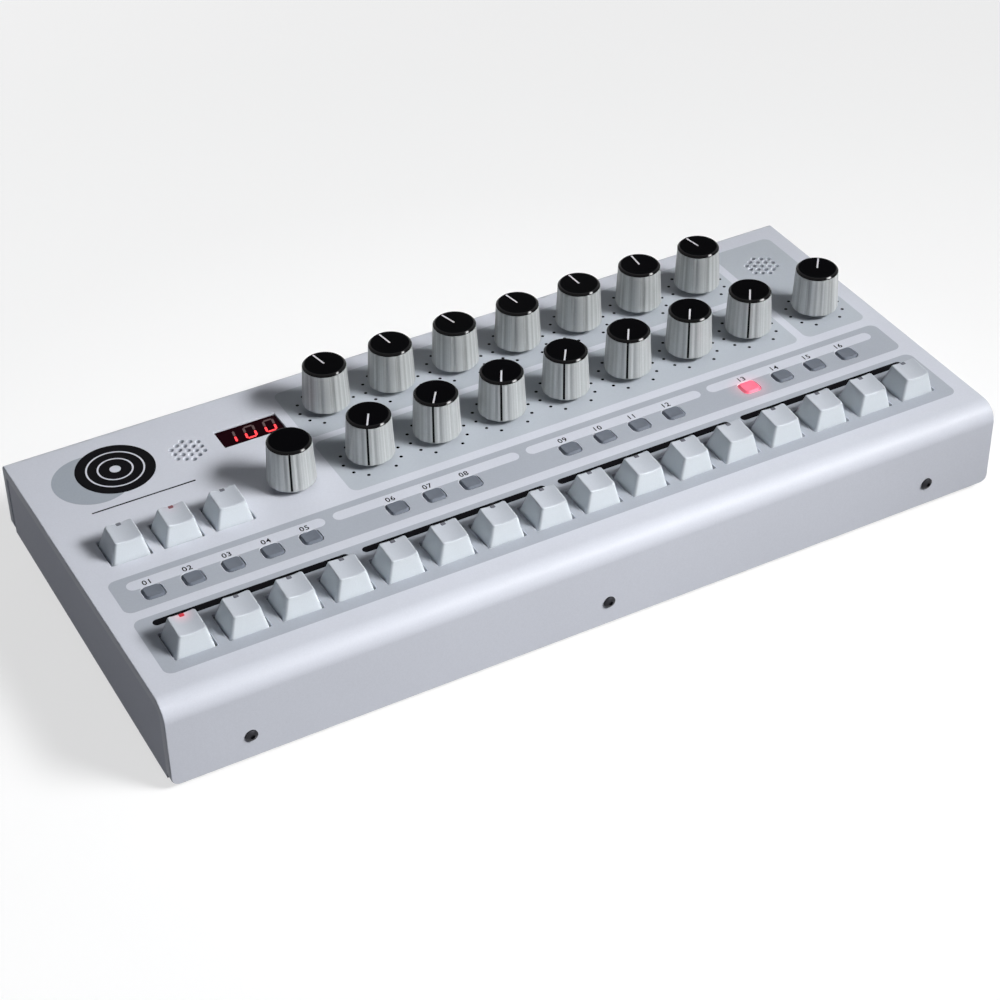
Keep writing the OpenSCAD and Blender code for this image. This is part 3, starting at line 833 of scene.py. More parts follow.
class Skin:
    """Points in case millimetres and faces, each with the number of its finish."""

    def __init__(self) -> None:
        """Starts empty."""
        self.points: list[Array] = []
        self.locals: list[Array] = []
        self.faces: list[Array] = []
        self.slots: list[Array] = []
        self.count = 0

    def add(self, points: Array, faces: list[Array], slot: int | Array = 0,
            at: tuple[float, float, float] = (0.0, 0.0, 0.0), turn: float = 0.0,
            pole_slot: int = 0) -> None:
        """Adds a surface, turned clockwise about its own upright axis and then moved.

        Args:
            points: Points about the surface's own middle.
            faces: Arrays of faces with three or four corners.
            slot: Number of the finish, or one number for each face of the first array.
            at: Place of the middle in case millimetres.
            turn: Turn in degrees, clockwise seen from above.
            pole_slot: Number of the finish of the other arrays where slot is an array.
        """
        angle = math.radians(-turn)
        spin = np.array([[math.cos(angle), math.sin(angle), 0],
                         [-math.sin(angle), math.cos(angle), 0], [0, 0, 1]])
        self.locals.append(points)
        self.points.append(points @ spin + np.array(at))
        for number, part in enumerate(faces):
            self.faces.append(part + self.count)
            given = slot if number == 0 or np.ndim(slot) == 0 else pole_slot
            self.slots.append(np.broadcast_to(given, len(part)))
        self.count += len(points)

    def mesh(self, name: str) -> bpy.types.Mesh:
        """Puts points, faces, slots and local places into a new mesh, in row metres.

        Args:
            name: Name of the mesh.

        Returns:
            The mesh, smooth all over.
        """
        mesh = bpy.data.meshes.new(name)
        points = (np.vstack(self.points) - (0, MIDDLE_Y, 0)) * MILLIMETRE
        corners = np.concatenate([part.ravel() for part in self.faces])
        totals = np.concatenate([np.full(len(p), p.shape[1]) for p in self.faces])
        mesh.vertices.add(len(points))
        mesh.vertices.foreach_set("co", points.astype(np.float32).ravel())
        mesh.loops.add(len(corners))
        mesh.loops.foreach_set("vertex_index", corners.astype(np.int32))
        mesh.polygons.add(len(totals))
        starts = np.concatenate([[0], np.cumsum(totals)[:-1]])
        mesh.polygons.foreach_set("loop_start", starts.astype(np.int32))
        mesh.polygons.foreach_set("material_index",
                                  np.concatenate(self.slots).astype(np.int32))
        mesh.polygons.foreach_set("use_smooth", np.ones(len(totals), bool))
        local = mesh.attributes.new(LOCAL, "FLOAT_VECTOR", "POINT")
        local.data.foreach_set("vector", np.vstack(self.locals).astype(np.float32).ravel())
        mesh.update(calc_edges=True)
        return mesh

    def make(self, name: str, finishes: list[bpy.types.Material], sharp: float = 35.0,
             weld: bool = False) -> bpy.types.Object:
        """Makes the object, in row metres, at the origin.

        Args:
            name: Name of the piece.
            finishes: Materials in the order of the slot numbers.
            sharp: Edges that bend more than this many degrees stay sharp.
            weld: Whether points in one place are joined.

        Returns:
            The object.
        """
        mesh = self.mesh(name)
        for finish in finishes:
            mesh.materials.append(finish)
        if weld:
            work = bmesh.new()
            work.from_mesh(mesh)
            bmesh.ops.remove_doubles(work, verts=work.verts, dist=WELD)
            work.to_mesh(mesh)
            work.free()
        mesh.set_sharp_from_angle(angle=math.radians(sharp))
        mesh.validate()
        piece = bpy.data.objects.new(name, mesh)
        bpy.context.scene.collection.objects.link(piece)
        even = piece.modifiers.new("even", "WEIGHTED_NORMAL")
        even.keep_sharp = True
        return piece


class Ink(Enum):
    """What a triangle of the cover shows."""

    PAINT = 0
    GREY = 1
    BLACK = 2
    LIGHT = 3
    ZONE = 4


def perforate(corners: Array, holes: list[Shape],
              prints: list[tuple[Shape, Ink]]) -> tuple[Array, Array, Array]:
    """Fills a four-cornered flat face with triangles that leave holes open.

    The outline of every hole and print is a fixed edge; a triangle is dropped where its
    middle lies in a hole, and takes the ink of the last print that holds its middle.

    Args:
        corners: The face's corners.
        holes: Openings.
        prints: Shapes and their ink, from the lowest to the topmost.

    Returns:
        Points, triangles and the ink number of each triangle.
    """
    lines = [corners, *(hole.line() for hole in holes), *(shape.line() for shape, _ in prints)]
    points = np.vstack(lines)
    starts = np.cumsum([0] + [len(line) for line in lines])
    edges = np.vstack([np.column_stack([np.arange(len(line)), np.roll(np.arange(len(line)), -1)])
                       + start for line, start in zip(lines, starts)])
    found = geometry.delaunay_2d_cdt([Vector(p) for p in points], edges.tolist(), [], 0, TINY)
    flat = np.array([tuple(p) for p in found[0]])
    faces = np.array(found[2])
    middles = flat[faces].mean(axis=1)
    keep = np.ones(len(faces), bool)
    for hole in holes:
        keep &= ~hole.holds(middles)
    inks = np.zeros(len(faces), int)
    for shape, ink in prints:
        inks[shape.holds(middles)] = ink.value
    a, b, c = (flat[faces[:, i]] for i in range(3))
    area = (b[:, 0] - a[:, 0]) * (c[:, 1] - a[:, 1]) - (b[:, 1] - a[:, 1]) * (c[:, 0] - a[:, 0])
    faces[area < 0] = faces[area < 0][:, ::-1]
    keep &= np.abs(area) > TINY
    return flat, faces[keep], inks[keep]


# ---------------------------------------------------------------- layout


@dataclass(frozen=True)
class Layout:
    """Places of keys, buttons, knobs and sockets."""

    key_pitch: float = 24.53
    keys: int = 16
    transport_keys: int = 3
    step_y: float = 35.0
    transport_y: float = 105.0
    button_y: float = 71.0
    button_pitch: float = 18.6
    button_groups: tuple[int, ...] = (5, 3, 4, 4)
    lit_button: int = 13
    knob_pitch: float = 34.28
    first_knob: float = -60.94
    front_y: float = 111.0
    back_y: float = 157.3
    encoder_x: float = -100.5
    grille_x: float = -131.7
    front_turns: tuple[int, ...] = (-150, -145, -150, -146, -147, -146, -146)
    back_turns: tuple[int, ...] = (-10, -8, -14, -9, -3, 5, -9)
    volume_turn: int = 38
    encoder_turn: int = -156
    screws: tuple[float, ...] = (-173.2, 0.0, 173.2)
    large_jacks: tuple[int, ...] = (-40, -74, -108)
    small_jacks: tuple[int, ...] = (30, 48, 66, 84)
    data_x: float = 122.0
    power_x: float = 150.0
    socket_drop: float = 21.0

    def key_x(self, number: int) -> float:
        """X of a step key, counted from 0."""
        return (number - (self.keys - 1) / 2) * self.key_pitch

    def knob_x(self, number: int) -> float:
        """X of a knob column, counted from 0."""
        return self.first_knob + number * self.knob_pitch

    def volume_x(self) -> float:
        """X of the volume knob and the right grille, above the last key."""
        return self.key_x(self.keys - 1)

    def group_x(self, group: int) -> float:
        """X of the middle of a group of step keys; each has its group of buttons."""
        groups = len(self.button_groups)
        return (group - (groups - 1) / 2) * self.keys / groups * self.key_pitch

    def button_xs(self) -> list[float]:
        """X of every button."""
        return [self.group_x(g) + (i - (n - 1) / 2) * self.button_pitch
                for g, n in enumerate(self.button_groups) for i in range(n)]

    def key_places(self) -> list[tuple[str, float, float]]:
        """Name, X and Y of every key.

        Returns:
            The step keys, then the transport keys.
        """
        steps = [(f"step_key_{i + 1:02d}", self.key_x(i), self.step_y)
                 for i in range(self.keys)]
        return steps + [(f"transport_key_{i + 1}", self.key_x(i), self.transport_y)
                        for i in range(self.transport_keys)]

    def pots(self) -> list[tuple[float, float]]:
        """Places of the pots with a scale."""
        rows = [(self.knob_x(i), y) for y in (self.front_y, self.back_y)
                for i in range(len(self.front_turns))]
        return [*rows, (self.volume_x(), self.front_y)]


# ---------------------------------------------------------------- prints


@dataclass(frozen=True)
class PanelPrint:
    """Inks of the panel: grey rows and zones, strips, scales, disc, rings and a rule.

    A row or zone is its middle's place and its size, and a round print ends in its radius
    and its steps. A strip repeats at each group of keys.
    """

    layout: Layout
    corner: float = 4.0
    row_x: float = 0.45
    row_w: float = 401.9
    rows: tuple[tuple[float, float], ...] = ((37.45, 38.3), (73.85, 23.7))
    zone_x: float = 41.0
    zone_w: float = 241.8
    zones: tuple[tuple[float, float], ...] = ((112.25, 42.5), (157.75, 40.5))
    volume_zone: tuple[float, ...] = (183.85, 134.85, 35.1, 86.9)
    pale_strip: tuple[float, ...] = (78.65, 93.8, 6.1, 3.04)
    pale_first: float = -146.7
    pale_pitch: float = 98.05
    dark_strip: tuple[float, ...] = (51.4, 91.6, 3.9, 1.94)
    dark_first: float = -147.0
    dark_pitch: float = 98.12
    scale_r: float = 13.9
    dot: tuple[float, int] = (0.84, 12)
    scale_end: int = 150
    scale_step: int = 30
    disc: tuple[float, float, float, int] = (-178.3, 158.0, 18.4, 64)
    rings: tuple[float, float] = (-166.1, 160.5)
    ring_disc: tuple[float, int] = (18.5, 72)
    ring_sizes: tuple[tuple[float, int], ...] = ((13.6, 64), (8.4, 48))
    ring_w: float = 0.8
    ring_dot: tuple[float, int] = (2.6, 32)
    rule: tuple[float, ...] = (-162.5, 134.6, 50.0, 0.9, 0.44)

    def fields(self) -> list[tuple[Shape, Ink]]:
        """Grey rows and zones with the strips on them.

        Returns:
            Shapes and inks, from the lowest to the topmost.
        """
        out: list[tuple[Shape, Ink]] = []
        out += [(Slab(self.row_x, y, self.row_w, depth, self.corner), Ink.GREY)
                for y, depth in self.rows]
        out += [(Slab(self.zone_x, y, self.zone_w, depth, self.corner), Ink.ZONE)
                for y, depth in self.zones]
        out.append((Slab(*self.volume_zone, self.corner), Ink.ZONE))
        for group in range(len(self.layout.button_groups)):
            out.append((Slab(self.pale_first + self.pale_pitch * group, *self.pale_strip),
                        Ink.PAINT))
            out.append((Slab(self.dark_first + self.dark_pitch * group, *self.dark_strip),
                        Ink.BLACK))
        return out

    def scales(self) -> list[tuple[Shape, Ink]]:
        """Dots around every pot: radius times sine and cosine of the pointer's turn.

        Returns:
            Dots and their ink.
        """
        turns = np.radians(np.arange(-self.scale_end, self.scale_end + 1, self.scale_step))
        return [(Disc(x + self.scale_r * math.sin(turn), y + self.scale_r * math.cos(turn),
                      *self.dot), Ink.BLACK)
                for x, y in self.layout.pots() for turn in turns]

    def badge(self) -> list[tuple[Shape, Ink]]:
        """Plain rings on a black disc, with a grey disc under it and a rule below.

        A ring is a silver disc under a smaller black one.

        Returns:
            Shapes and inks, from the lowest to the topmost.
        """
        out: list[tuple[Shape, Ink]] = [(Disc(*self.disc), Ink.LIGHT),
                                        (Disc(*self.rings, *self.ring_disc), Ink.BLACK)]
        for radius, steps in self.ring_sizes:
            out.append((Disc(*self.rings, radius, steps), Ink.PAINT))
            out.append((Disc(*self.rings, radius - self.ring_w, steps), Ink.BLACK))
        out.append((Disc(*self.rings, *self.ring_dot), Ink.PAINT))
        out.append((Slab(*self.rule), Ink.BLACK))
        return out

    def shapes(self) -> list[tuple[Shape, Ink]]:
        """All inks, from the lowest to the topmost."""
        return self.fields() + self.scales() + self.badge()


# ---------------------------------------------------------------- case


@dataclass(frozen=True)
class Face:
    """A flat, perforated face of the sheet.

    It knows the two directions that it lies along, the way from it into the sheet, its
    openings and inks, and the row of the cover's grid that it takes the place of.
    """

    plane: tuple[int, int]
    inward: tuple[int, int, int]
    holes: list[Shape]
    prints: list[tuple[Shape, Ink]]
    row: int

    def across(self) -> int:
        """Number of the direction across the face."""
        return 3 - sum(self.plane)

    def lift(self, level: float) -> Array:
        """Matrix that carries the face's own two directions and 1 to case millimetres.

        Args:
            level: Place of the face along the direction across it.

        Returns:
            Three rows: the two directions and the offset.
        """
        rows = np.zeros((3, 3))
        rows[0, self.plane[0]], rows[1, self.plane[1]] = 1, 1
        rows[2, self.across()] = level
        return rows


@dataclass
class Cover:
    """Folded sheet with printed panel, made as one closed skin.

    A round hole is its radius and steps. Another is its two lengths, its corner's radius and,
    where they aren't the usual ones, its corner's steps.
    """

    layout: Layout
    width: float = 420.0
    front_low: float = 3.0
    back_low: float = 10.1
    sheet: float = 2.0
    front_bend: float = 9.0
    back_bend: float = 3.0
    least_bend: float = 0.05
    band: float = 5.0
    edge: float = 0.6
    band_edge: float = 0.3
    lower_corner: float = 4.0
    hole_edge: float = 0.3
    edge_rows: int = 5
    hole_rows: int = 4
    corner_rows: int = 6
    bend_steps: int = 14
    back_steps: int = 8
    sharp: float = 40.0
    key_hole: tuple[float, float, float, int] = (19.3, 19.3, 0.6, 3)
    button_hole: tuple[float, float, float] = (9.8, 9.2, 2.6)
    shaft_hole: tuple[float, int] = (4.0, 24)
    window: tuple[float, float, float, int] = (31.0, 13.8, 0.3, 3)
    grille_pitch: float = 3.85
    grille_rings: int = 2
    grille_hole: tuple[float, int] = (1.2, 16)
    screw_hole: tuple[float, int] = (1.7, 16)
    front_screw_up: float = 11.9
    back_screw_up: float = 4.2
    large_jack: tuple[float, int] = (4.65, 24)
    small_jack: tuple[float, int] = (3.15, 20)
    power_hole: tuple[float, int] = (4.35, 24)
    data_hole: tuple[float, float, float] = (9.3, 3.6, 1.65)

    def low(self, y: float) -> float:
        """Height of the case's lower edge."""
        return self.front_low + (self.back_low - self.front_low) * y / CASE_DEPTH

    def corner_rise(self) -> Array:
        """Rise of the rows of a lower corner: its radius times 1 less the cosine."""
        return self.lower_corner * (1 - np.cos(np.radians(np.linspace(0, 90, self.corner_rows))))

    def side_line(self, inset: float) -> Array:
        """Side outline moved in by inset, from the front's lower edge over to the back's.

        Quarter arcs of the bends less the inset stand between straight runs, and the rows of
        the round lower corners come first and last.

        Args:
            inset: Distance inside the outer skin.

        Returns:
            Array of Y and Z.
        """
        rise = self.corner_rise()
        front, back = inset, CASE_DEPTH - inset
        tight = [max(bend - inset, self.least_bend) for bend in (self.front_bend, self.back_bend)]
        start = np.column_stack([np.full(len(rise), front), self.low(front) + rise])
        bend = arc((front + tight[0], PANEL - inset - tight[0]), tight[0], 180, 90,
                   self.bend_steps)
        far = arc((back - tight[1], PANEL - inset - tight[1]), tight[1], 90, 0,
                  self.back_steps)
        end = np.column_stack([np.full(len(rise), back), self.low(back) + rise[::-1]])
        return np.vstack([start, bend, far, end])

    def section(self) -> Array:
        """Closed cross-section as X and inset: outer skin, side flanges and inner skin.

        The upper edges are quarter rounds: edge times sine and 1 less the cosine.

        Returns:
            Array of X and inset, the right half and its mirror image.
        """
        half, e = self.width / 2, self.edge
        turn = np.radians(np.linspace(0, 90, self.edge_rows))
        right = np.vstack([
            np.column_stack([half - e + e * np.sin(turn), e - e * np.cos(turn)]),
            np.array([[half, self.band - self.band_edge], [half - self.band_edge, self.band],
                      [half - self.sheet, self.band], [half - self.sheet, self.sheet]])])
        return np.vstack([right, right[::-1] * (-1, 1)])

    def panel_holes(self) -> list[Shape]:
        """Openings of the panel; a grille is a hexagon of holes on two slanted axes.

        Returns:
            The openings.
        """
        at, out = self.layout, []
        out += [Slab(x, y, *self.key_hole) for _, x, y in at.key_places()]
        out += [Slab(x, at.button_y, *self.button_hole) for x in at.button_xs()]
        out += [Disc(x, y, *self.shaft_hole)
                for x, y in [*at.pots(), (at.encoder_x, at.front_y)]]
        out.append(Slab(at.encoder_x, at.back_y, *self.window))
        reach, pitch = range(-self.grille_rings, self.grille_rings + 1), self.grille_pitch
        for middle in (at.grille_x, at.volume_x()):
            out += [Disc(middle + pitch * q * math.cos(math.pi / 6),
                         at.back_y + pitch * (r + q / 2), *self.grille_hole)
                    for q in reach for r in reach if abs(q + r) <= self.grille_rings]
        return out

    def back_holes(self) -> list[Shape]:
        """Openings of the back flange for screws and sockets.

        Returns:
            The openings.
        """
        at, z = self.layout, PANEL - self.layout.socket_drop
        out: list[Shape] = [Disc(x, self.back_low + self.back_screw_up, *self.screw_hole)
                            for x in at.screws]
        out += [Disc(x, z, *self.large_jack) for x in at.large_jacks]
        out += [Disc(x, z, *self.small_jack) for x in at.small_jacks]
        out.append(Disc(at.power_x, z, *self.power_hole))
        out.append(Slab(at.data_x, z, *self.data_hole))
        return out

    def flats(self) -> list[Face]:
        """The three flat faces, with the grid row under each.

        Returns:
            Front flange, panel and back flange.
        """
        front = [Disc(x, self.front_low + self.front_screw_up, *self.screw_hole)
                 for x in self.layout.screws]
        bent = self.corner_rows + self.bend_steps
        return [
            Face((0, 2), (0, 1, 0), front, [], self.corner_rows - 1),
            Face((0, 1), (0, 0, -1), self.panel_holes(), PanelPrint(self.layout).shapes(), bent),
            Face((0, 2), (0, -1, 0), self.back_holes(), [], bent + self.back_steps + 1),
        ]

    def rims(self, skin: Skin, holes: list[Shape], lift: Array, inward: Array) -> None:
        """Adds the walls of openings, with a small quarter round at the outer face.

        Args:
            skin: Skin that takes the walls.
            holes: Openings.
            lift: Matrix and offset from the face's two directions to case millimetres.
            inward: Unit step from the outer face into the sheet.
        """
        e, turn = self.hole_edge, np.radians(np.linspace(0, 90, self.hole_rows))
        grows = [*(e * (1 - np.sin(turn))), 0.0]
        depths = [*(e * (1 - np.cos(turn))), self.sheet]
        for hole in holes:
            rings = np.stack([lifted(hole.grown(grow).line(), lift) + inward * depth
                              for grow, depth in zip(grows, depths)])
            if np.cross(lift[0], lift[1]) @ inward > 0:
                rings = rings[:, ::-1]
            skin.add(*loft(rings, closed=False))

    def fill(self, skin: Skin, points: Array, face: Face, outer: bool) -> None:
        """Adds one flat face, outer or inner, that the grid leaves open.

        Args:
            skin: Skin that takes it.
            points: Grid of the cover's points, rows by section.
            face: The face.
            outer: Whether it is the face's outer side.
        """
        half = points.shape[1] // 2
        left, right = (points.shape[1] - 1, 0) if outer else (half, half - 1)
        loop = points[[face.row, face.row, face.row + 1, face.row + 1],
                      [left, right, right, left]]
        lift = face.lift(loop[0, face.across()])
        cuts = [hole.grown(self.hole_edge if outer else 0.0) for hole in face.holes]
        flat, faces, ink = perforate(loop[:, face.plane], cuts, face.prints if outer else [])
        inward = np.array(face.inward, float)
        if (np.cross(lift[0], lift[1]) @ inward < 0) != outer:
            faces = faces[:, ::-1]
        skin.add(lifted(flat, lift), [faces], ink)
        if outer:
            self.rims(skin, face.holes, lift, inward)

    def make(self, finishes: list[bpy.types.Material]) -> bpy.types.Object:
        """Builds the cover: the section carried along the side line, cut round at its corners.

        Args:
            finishes: One for each ink, in the order of their numbers.

        Returns:
            The object.
        """
        skin, section, rise = Skin(), self.section(), self.corner_rise()
        lines = np.stack([self.side_line(inset) for inset in section[:, 1]], axis=1)
        rows, across, _ = lines.shape
        limit = np.full(rows, self.width / 2)
        round_x = self.width / 2 - self.lower_corner + np.sqrt(
            self.lower_corner ** 2 - (self.lower_corner - rise) ** 2)
        limit[:len(rise)], limit[-len(rise):] = round_x, round_x[::-1]
        x = np.clip(section[None, :, 0], -limit[:, None], limit[:, None])
        points = np.concatenate([x[..., None], lines], axis=-1)
        index = np.arange(rows * across).reshape(rows, across)
        quads = quads_of(index)[:, :, ::-1]
        keep = np.ones(quads.shape[:2], bool)
        flats = self.flats()
        for face in flats:
            keep[face.row, across // 2 - 1] = keep[face.row, across - 1] = False
        ends = [index[0][None, :], index[-1][None, ::-1]]
        skin.add(points.reshape(-1, 3), [quads[keep], *ends])
        for face in flats:
            self.fill(skin, points, face, True)
            self.fill(skin, points, face, False)
        return skin.make("cover_sheet", finishes, self.sharp, weld=True)


# ---------------------------------------------------------------- keys


@dataclass
class KeyMaker:
    """Keycap with dished top, light window, boss and plunger."""

    base: float = 18.3
    base_r: float = 1.6
    top_w: float = 12.5
    top_d: float = 12.7
    top_r: float = 1.2
    top_y: float = -1.5
    rise: float = 12.2
    tilt: float = 4.502
    dish: float = 0.8
    wall: float = 1.3
    roof: float = 2.0
    hollow_r: tuple[float, float] = (0.6, 0.5)
    foot_edge: float = 0.15
    foot_round: float = 0.015
    foot_share: float = 0.012
    dish_shares: tuple[float, ...] = (0.8, 0.6, 0.4, 0.2)
    fillet: float = 0.6
    sink: float = 1.5
    corner_steps: int = 5
    side_steps: int = 8
    fillet_rows: int = 6
    sharp: float = 50.0
    lens_w: float = 2.4
    lens_d: float = 1.9
    lens_r: float = 0.5
    lens_steps: int = 4
    lens_rows: tuple[tuple[float, float], ...] = ((-0.05, 1.6), (0.0, 1.5), (0.0, 0.02),
                                                  (-0.1, -0.07), (-0.35, -0.09))
    stem_size: tuple[float, float, float, int] = (7.0, 5.4, 0.5, 3)
    stem_low: float = 39.3
    stem_high: float = 49.9
    stem_edge: float = 0.3
    stem_end: float = 0.94
    boss_r: float = 2.4
    boss_edge: float = 0.2
    boss_gap: float = 0.05
    boss_drop: float = 1.0
    boss_steps: int = 24

    def outline(self, width: float, depth: float, radius: float) -> Array:
        """Outline of the cap at one height, with the cap's count of points."""
        return rounded_box_line(width, depth, radius, self.corner_steps, self.side_steps)

    def drop(self, x: Array) -> Array:
        """Depth of the dish: how far a circle about the top's length falls at x.

        Args:
            x: Distances from the middle of the top.

        Returns:
            Depths.
        """
        radius = (self.top_w ** 2 / 4 + self.dish ** 2) / (2 * self.dish)
        inside = np.minimum(np.abs(x), self.top_w / 2)
        return self.dish - radius + np.sqrt(radius ** 2 - inside ** 2)

    def on_top(self, flat: Array, below: Array | float) -> Array:
        """Carries points of the top's own plane into place, some way below it.

        Args:
            flat: Points in the top's width and depth.
            below: Distance under the plane.

        Returns:
            Points above the cap's foot.
        """
        angle = math.radians(self.tilt)
        y, down = flat[:, 1], np.broadcast_to(below, len(flat))
        return np.column_stack([
            flat[:, 0], self.top_y + y * math.cos(angle) + down * math.sin(angle),
            self.rise + y * math.sin(angle) - down * math.cos(angle)])

    def cap(self) -> Surface:
        """Surface of the cap with its hollow.

        Ruled walls run from foot to top; near the top each ruling bends over a curve of
        degree two into the dish, which then closes on its middle.

        Returns:
            Points and faces.
        """
        outer = self.outline(self.base, self.base, self.base_r)
        foot = raised(outer, 0.0)
        flat = self.outline(self.top_w, self.top_d, self.top_r)
        top = self.on_top(flat, 0.0)
        height = top[:, 2:]
        end = 1 - self.drop(flat[:, :1]) / height

        def wall(share: Array | float) -> Array:
            """Point on each ruling."""
            return foot + (top - foot) * share

        def dish(scale: float) -> Array:
            """Ring on the dish."""
            return self.on_top(flat * scale, self.drop(flat[:, 0] * scale))

        shrink = 1 - 2 * self.fillet / self.top_w
        first, corner, last = wall(end - self.fillet / height), wall(end), dish(shrink)
        curve = [first * (1 - s) ** 2 + corner * 2 * s * (1 - s) + last * s ** 2
                 for s in np.linspace(0, 1, self.fillet_rows)]
        thin = 2 * self.wall
        inner = self.outline(self.base - thin, self.base - thin, self.hollow_r[0])
        ceiling = self.outline(self.top_w - thin, self.top_d - thin, self.hollow_r[1])
        rings = [self.on_top(ceiling, self.roof), raised(inner, self.foot_edge),
                 raised(inner * (1 + self.foot_round), 0.0),
                 raised(outer * (1 - self.foot_round), 0.0),
                 wall(self.foot_share), wall(0.5 * end), *curve,
                 *(dish(shrink * s) for s in self.dish_shares)]
        return loft(np.stack(rings))

    def lens(self) -> Surface:
        """Light window: a rounded block that ends just above the dish.

        Each of its rows is a growth of the outline and a depth under the dish.

        Returns:
            Points and faces.
        """
        middle = (self.top_d - self.lens_d) / 2
        rings = []
        for grow, below in self.lens_rows:
            flat = rounded_box_line(self.lens_w + 2 * grow, self.lens_d + 2 * grow,
                                    self.lens_r, self.lens_steps) + (0, middle)
            rings.append(self.on_top(flat, self.drop(flat[:, 0]) + below))
        return loft(np.stack(rings))

    def stem(self) -> Surface:
        """Plunger: an upright block with round edges, on heights above the cap's foot.

        Returns:
            Points and faces.
        """
        low, high = self.stem_low - PANEL + self.sink, self.stem_high - PANEL + self.sink
        line = rounded_box_line(*self.stem_size)
        end = line * self.stem_end
        return loft(stack([end, line, line, end],
                          [low, low + self.stem_edge, high - self.stem_edge, high]))

    def boss(self) -> Surface:
        """Round boss between plunger and cap.

        Returns:
            Points and faces.
        """
        low = self.stem_high + self.boss_gap - PANEL + self.sink
        profile = np.array([[self.boss_r - self.boss_edge, low],
                            [self.boss_r, low + self.boss_edge],
                            [self.boss_r, self.rise - self.boss_drop]])
        return loft(lathe(profile, self.boss_steps))

    def make(self, name: str, x: float, y: float,
             finishes: list[bpy.types.Material]) -> bpy.types.Object:
        """Builds one key.

        Args:
            name: Name of the key's node and body.
            x: Place of its middle.
            y: Place of its middle.
            finishes: Cap, light window and plunger.

        Returns:
            The object.
        """
        skin = Skin()
        at = (x, y, PANEL - self.sink)
        for slot, part in ((0, self.cap()), (0, self.boss()), (1, self.lens()),
                           (2, self.stem())):
            skin.add(*part, slot, at)
        return skin.make(name + "_cap", finishes, self.sharp)


# ---------------------------------------------------------------- buttons


@dataclass
class ButtonMaker:
    """Small translucent button: crowned pad, ledge under the panel and post."""

    width: float = 9.2
    depth: float = 8.6
    corner: float = 2.3
    least_corner: float = 0.3
    corner_steps: int = 6
    side_steps: int = 3
    up: float = 0.8
    slope: float = 0.6
    fillet: float = 0.35
    fillet_rows: int = 6
    waist: float = -0.3
    waist_h: float = 0.1
    waist_step: float = 0.05
    post_w: float = 3.4
    post_r: float = 1.6
    post_low: float = 35.5
    post_edge: float = 0.2
    post_end: float = 0.9
    ledge_z: float = 42.5
    ledge_reach: float = 1.0
    ledge_r: float = 2.6
    ledge_h: float = 1.0
    ledge_edge: float = 0.1
    ledge_end: float = 0.99
    sharp: float = 45.0
    crown: tuple[tuple[float, float], ...] = ((1.7, 0.03), (2.6, 0.11), (3.8, 0.15))

    def outline(self, width: float, depth: float, radius: float) -> Array:
        """Outline at one height, with the button's count of points."""
        return rounded_box_line(width, depth, radius, self.corner_steps, self.side_steps)

    def pad(self, grow: float) -> Array:
        """Outline of the pad, moved out by grow."""
        return self.outline(self.width + 2 * grow, self.depth + 2 * grow,
                            max(self.corner + grow, self.least_corner))

    def make(self, name: str, x: float, y: float,
             finish: bpy.types.Material) -> bpy.types.Object:
        """Builds one button: outlines of one count, from the post's end up to the crown.

        The shoulder is a quarter round: fillet times 1 less the cosine, and times the sine.

        Args:
            name: Name of the button's node and body.
            x: Place of its middle.
            y: Place of its middle.
            finish: Its plastic.

        Returns:
            The object.
        """
        post = self.outline(self.post_w, self.post_w, self.post_r)
        wide = self.outline(self.width + 2 * self.ledge_reach,
                            self.depth + 2 * self.ledge_reach, self.ledge_r)
        end, low = self.post_low - PANEL, self.ledge_z - PANEL
        high, top, edge = low + self.ledge_h, self.up, self.ledge_edge
        rings = [(post * self.post_end, end), (post, end + self.post_edge), (post, low),
                 (wide * self.ledge_end, low), (wide, low + edge), (wide, high - edge),
                 (wide * self.ledge_end, high), (self.pad(0.0), high),
                 (self.pad(0.0), self.waist),
                 (self.pad(-self.waist_step), self.waist + self.waist_h)]
        rings += [(self.pad(-self.slope - self.fillet * (1 - math.cos(a))),
                   top - self.fillet * (1 - math.sin(a)))
                  for a in np.radians(np.linspace(0, 90, self.fillet_rows))]
        rings += [(self.pad(-shrink), top - down) for shrink, down in self.crown]
        outlines, heights = zip(*rings)
        skin = Skin()
        skin.add(*loft(stack(list(outlines), list(heights))), 0, (x, y, PANEL))
        return skin.make(name + "_pad", [finish], self.sharp)


# ---------------------------------------------------------------- knobs


class KnobPart(Enum):
    """Parts of a knob by the number of their finish."""

    SKIRT = 0
    GROOVE = 1
    FACE = 2
    LINE = 3
    SHAFT = 4
    RIM = 5


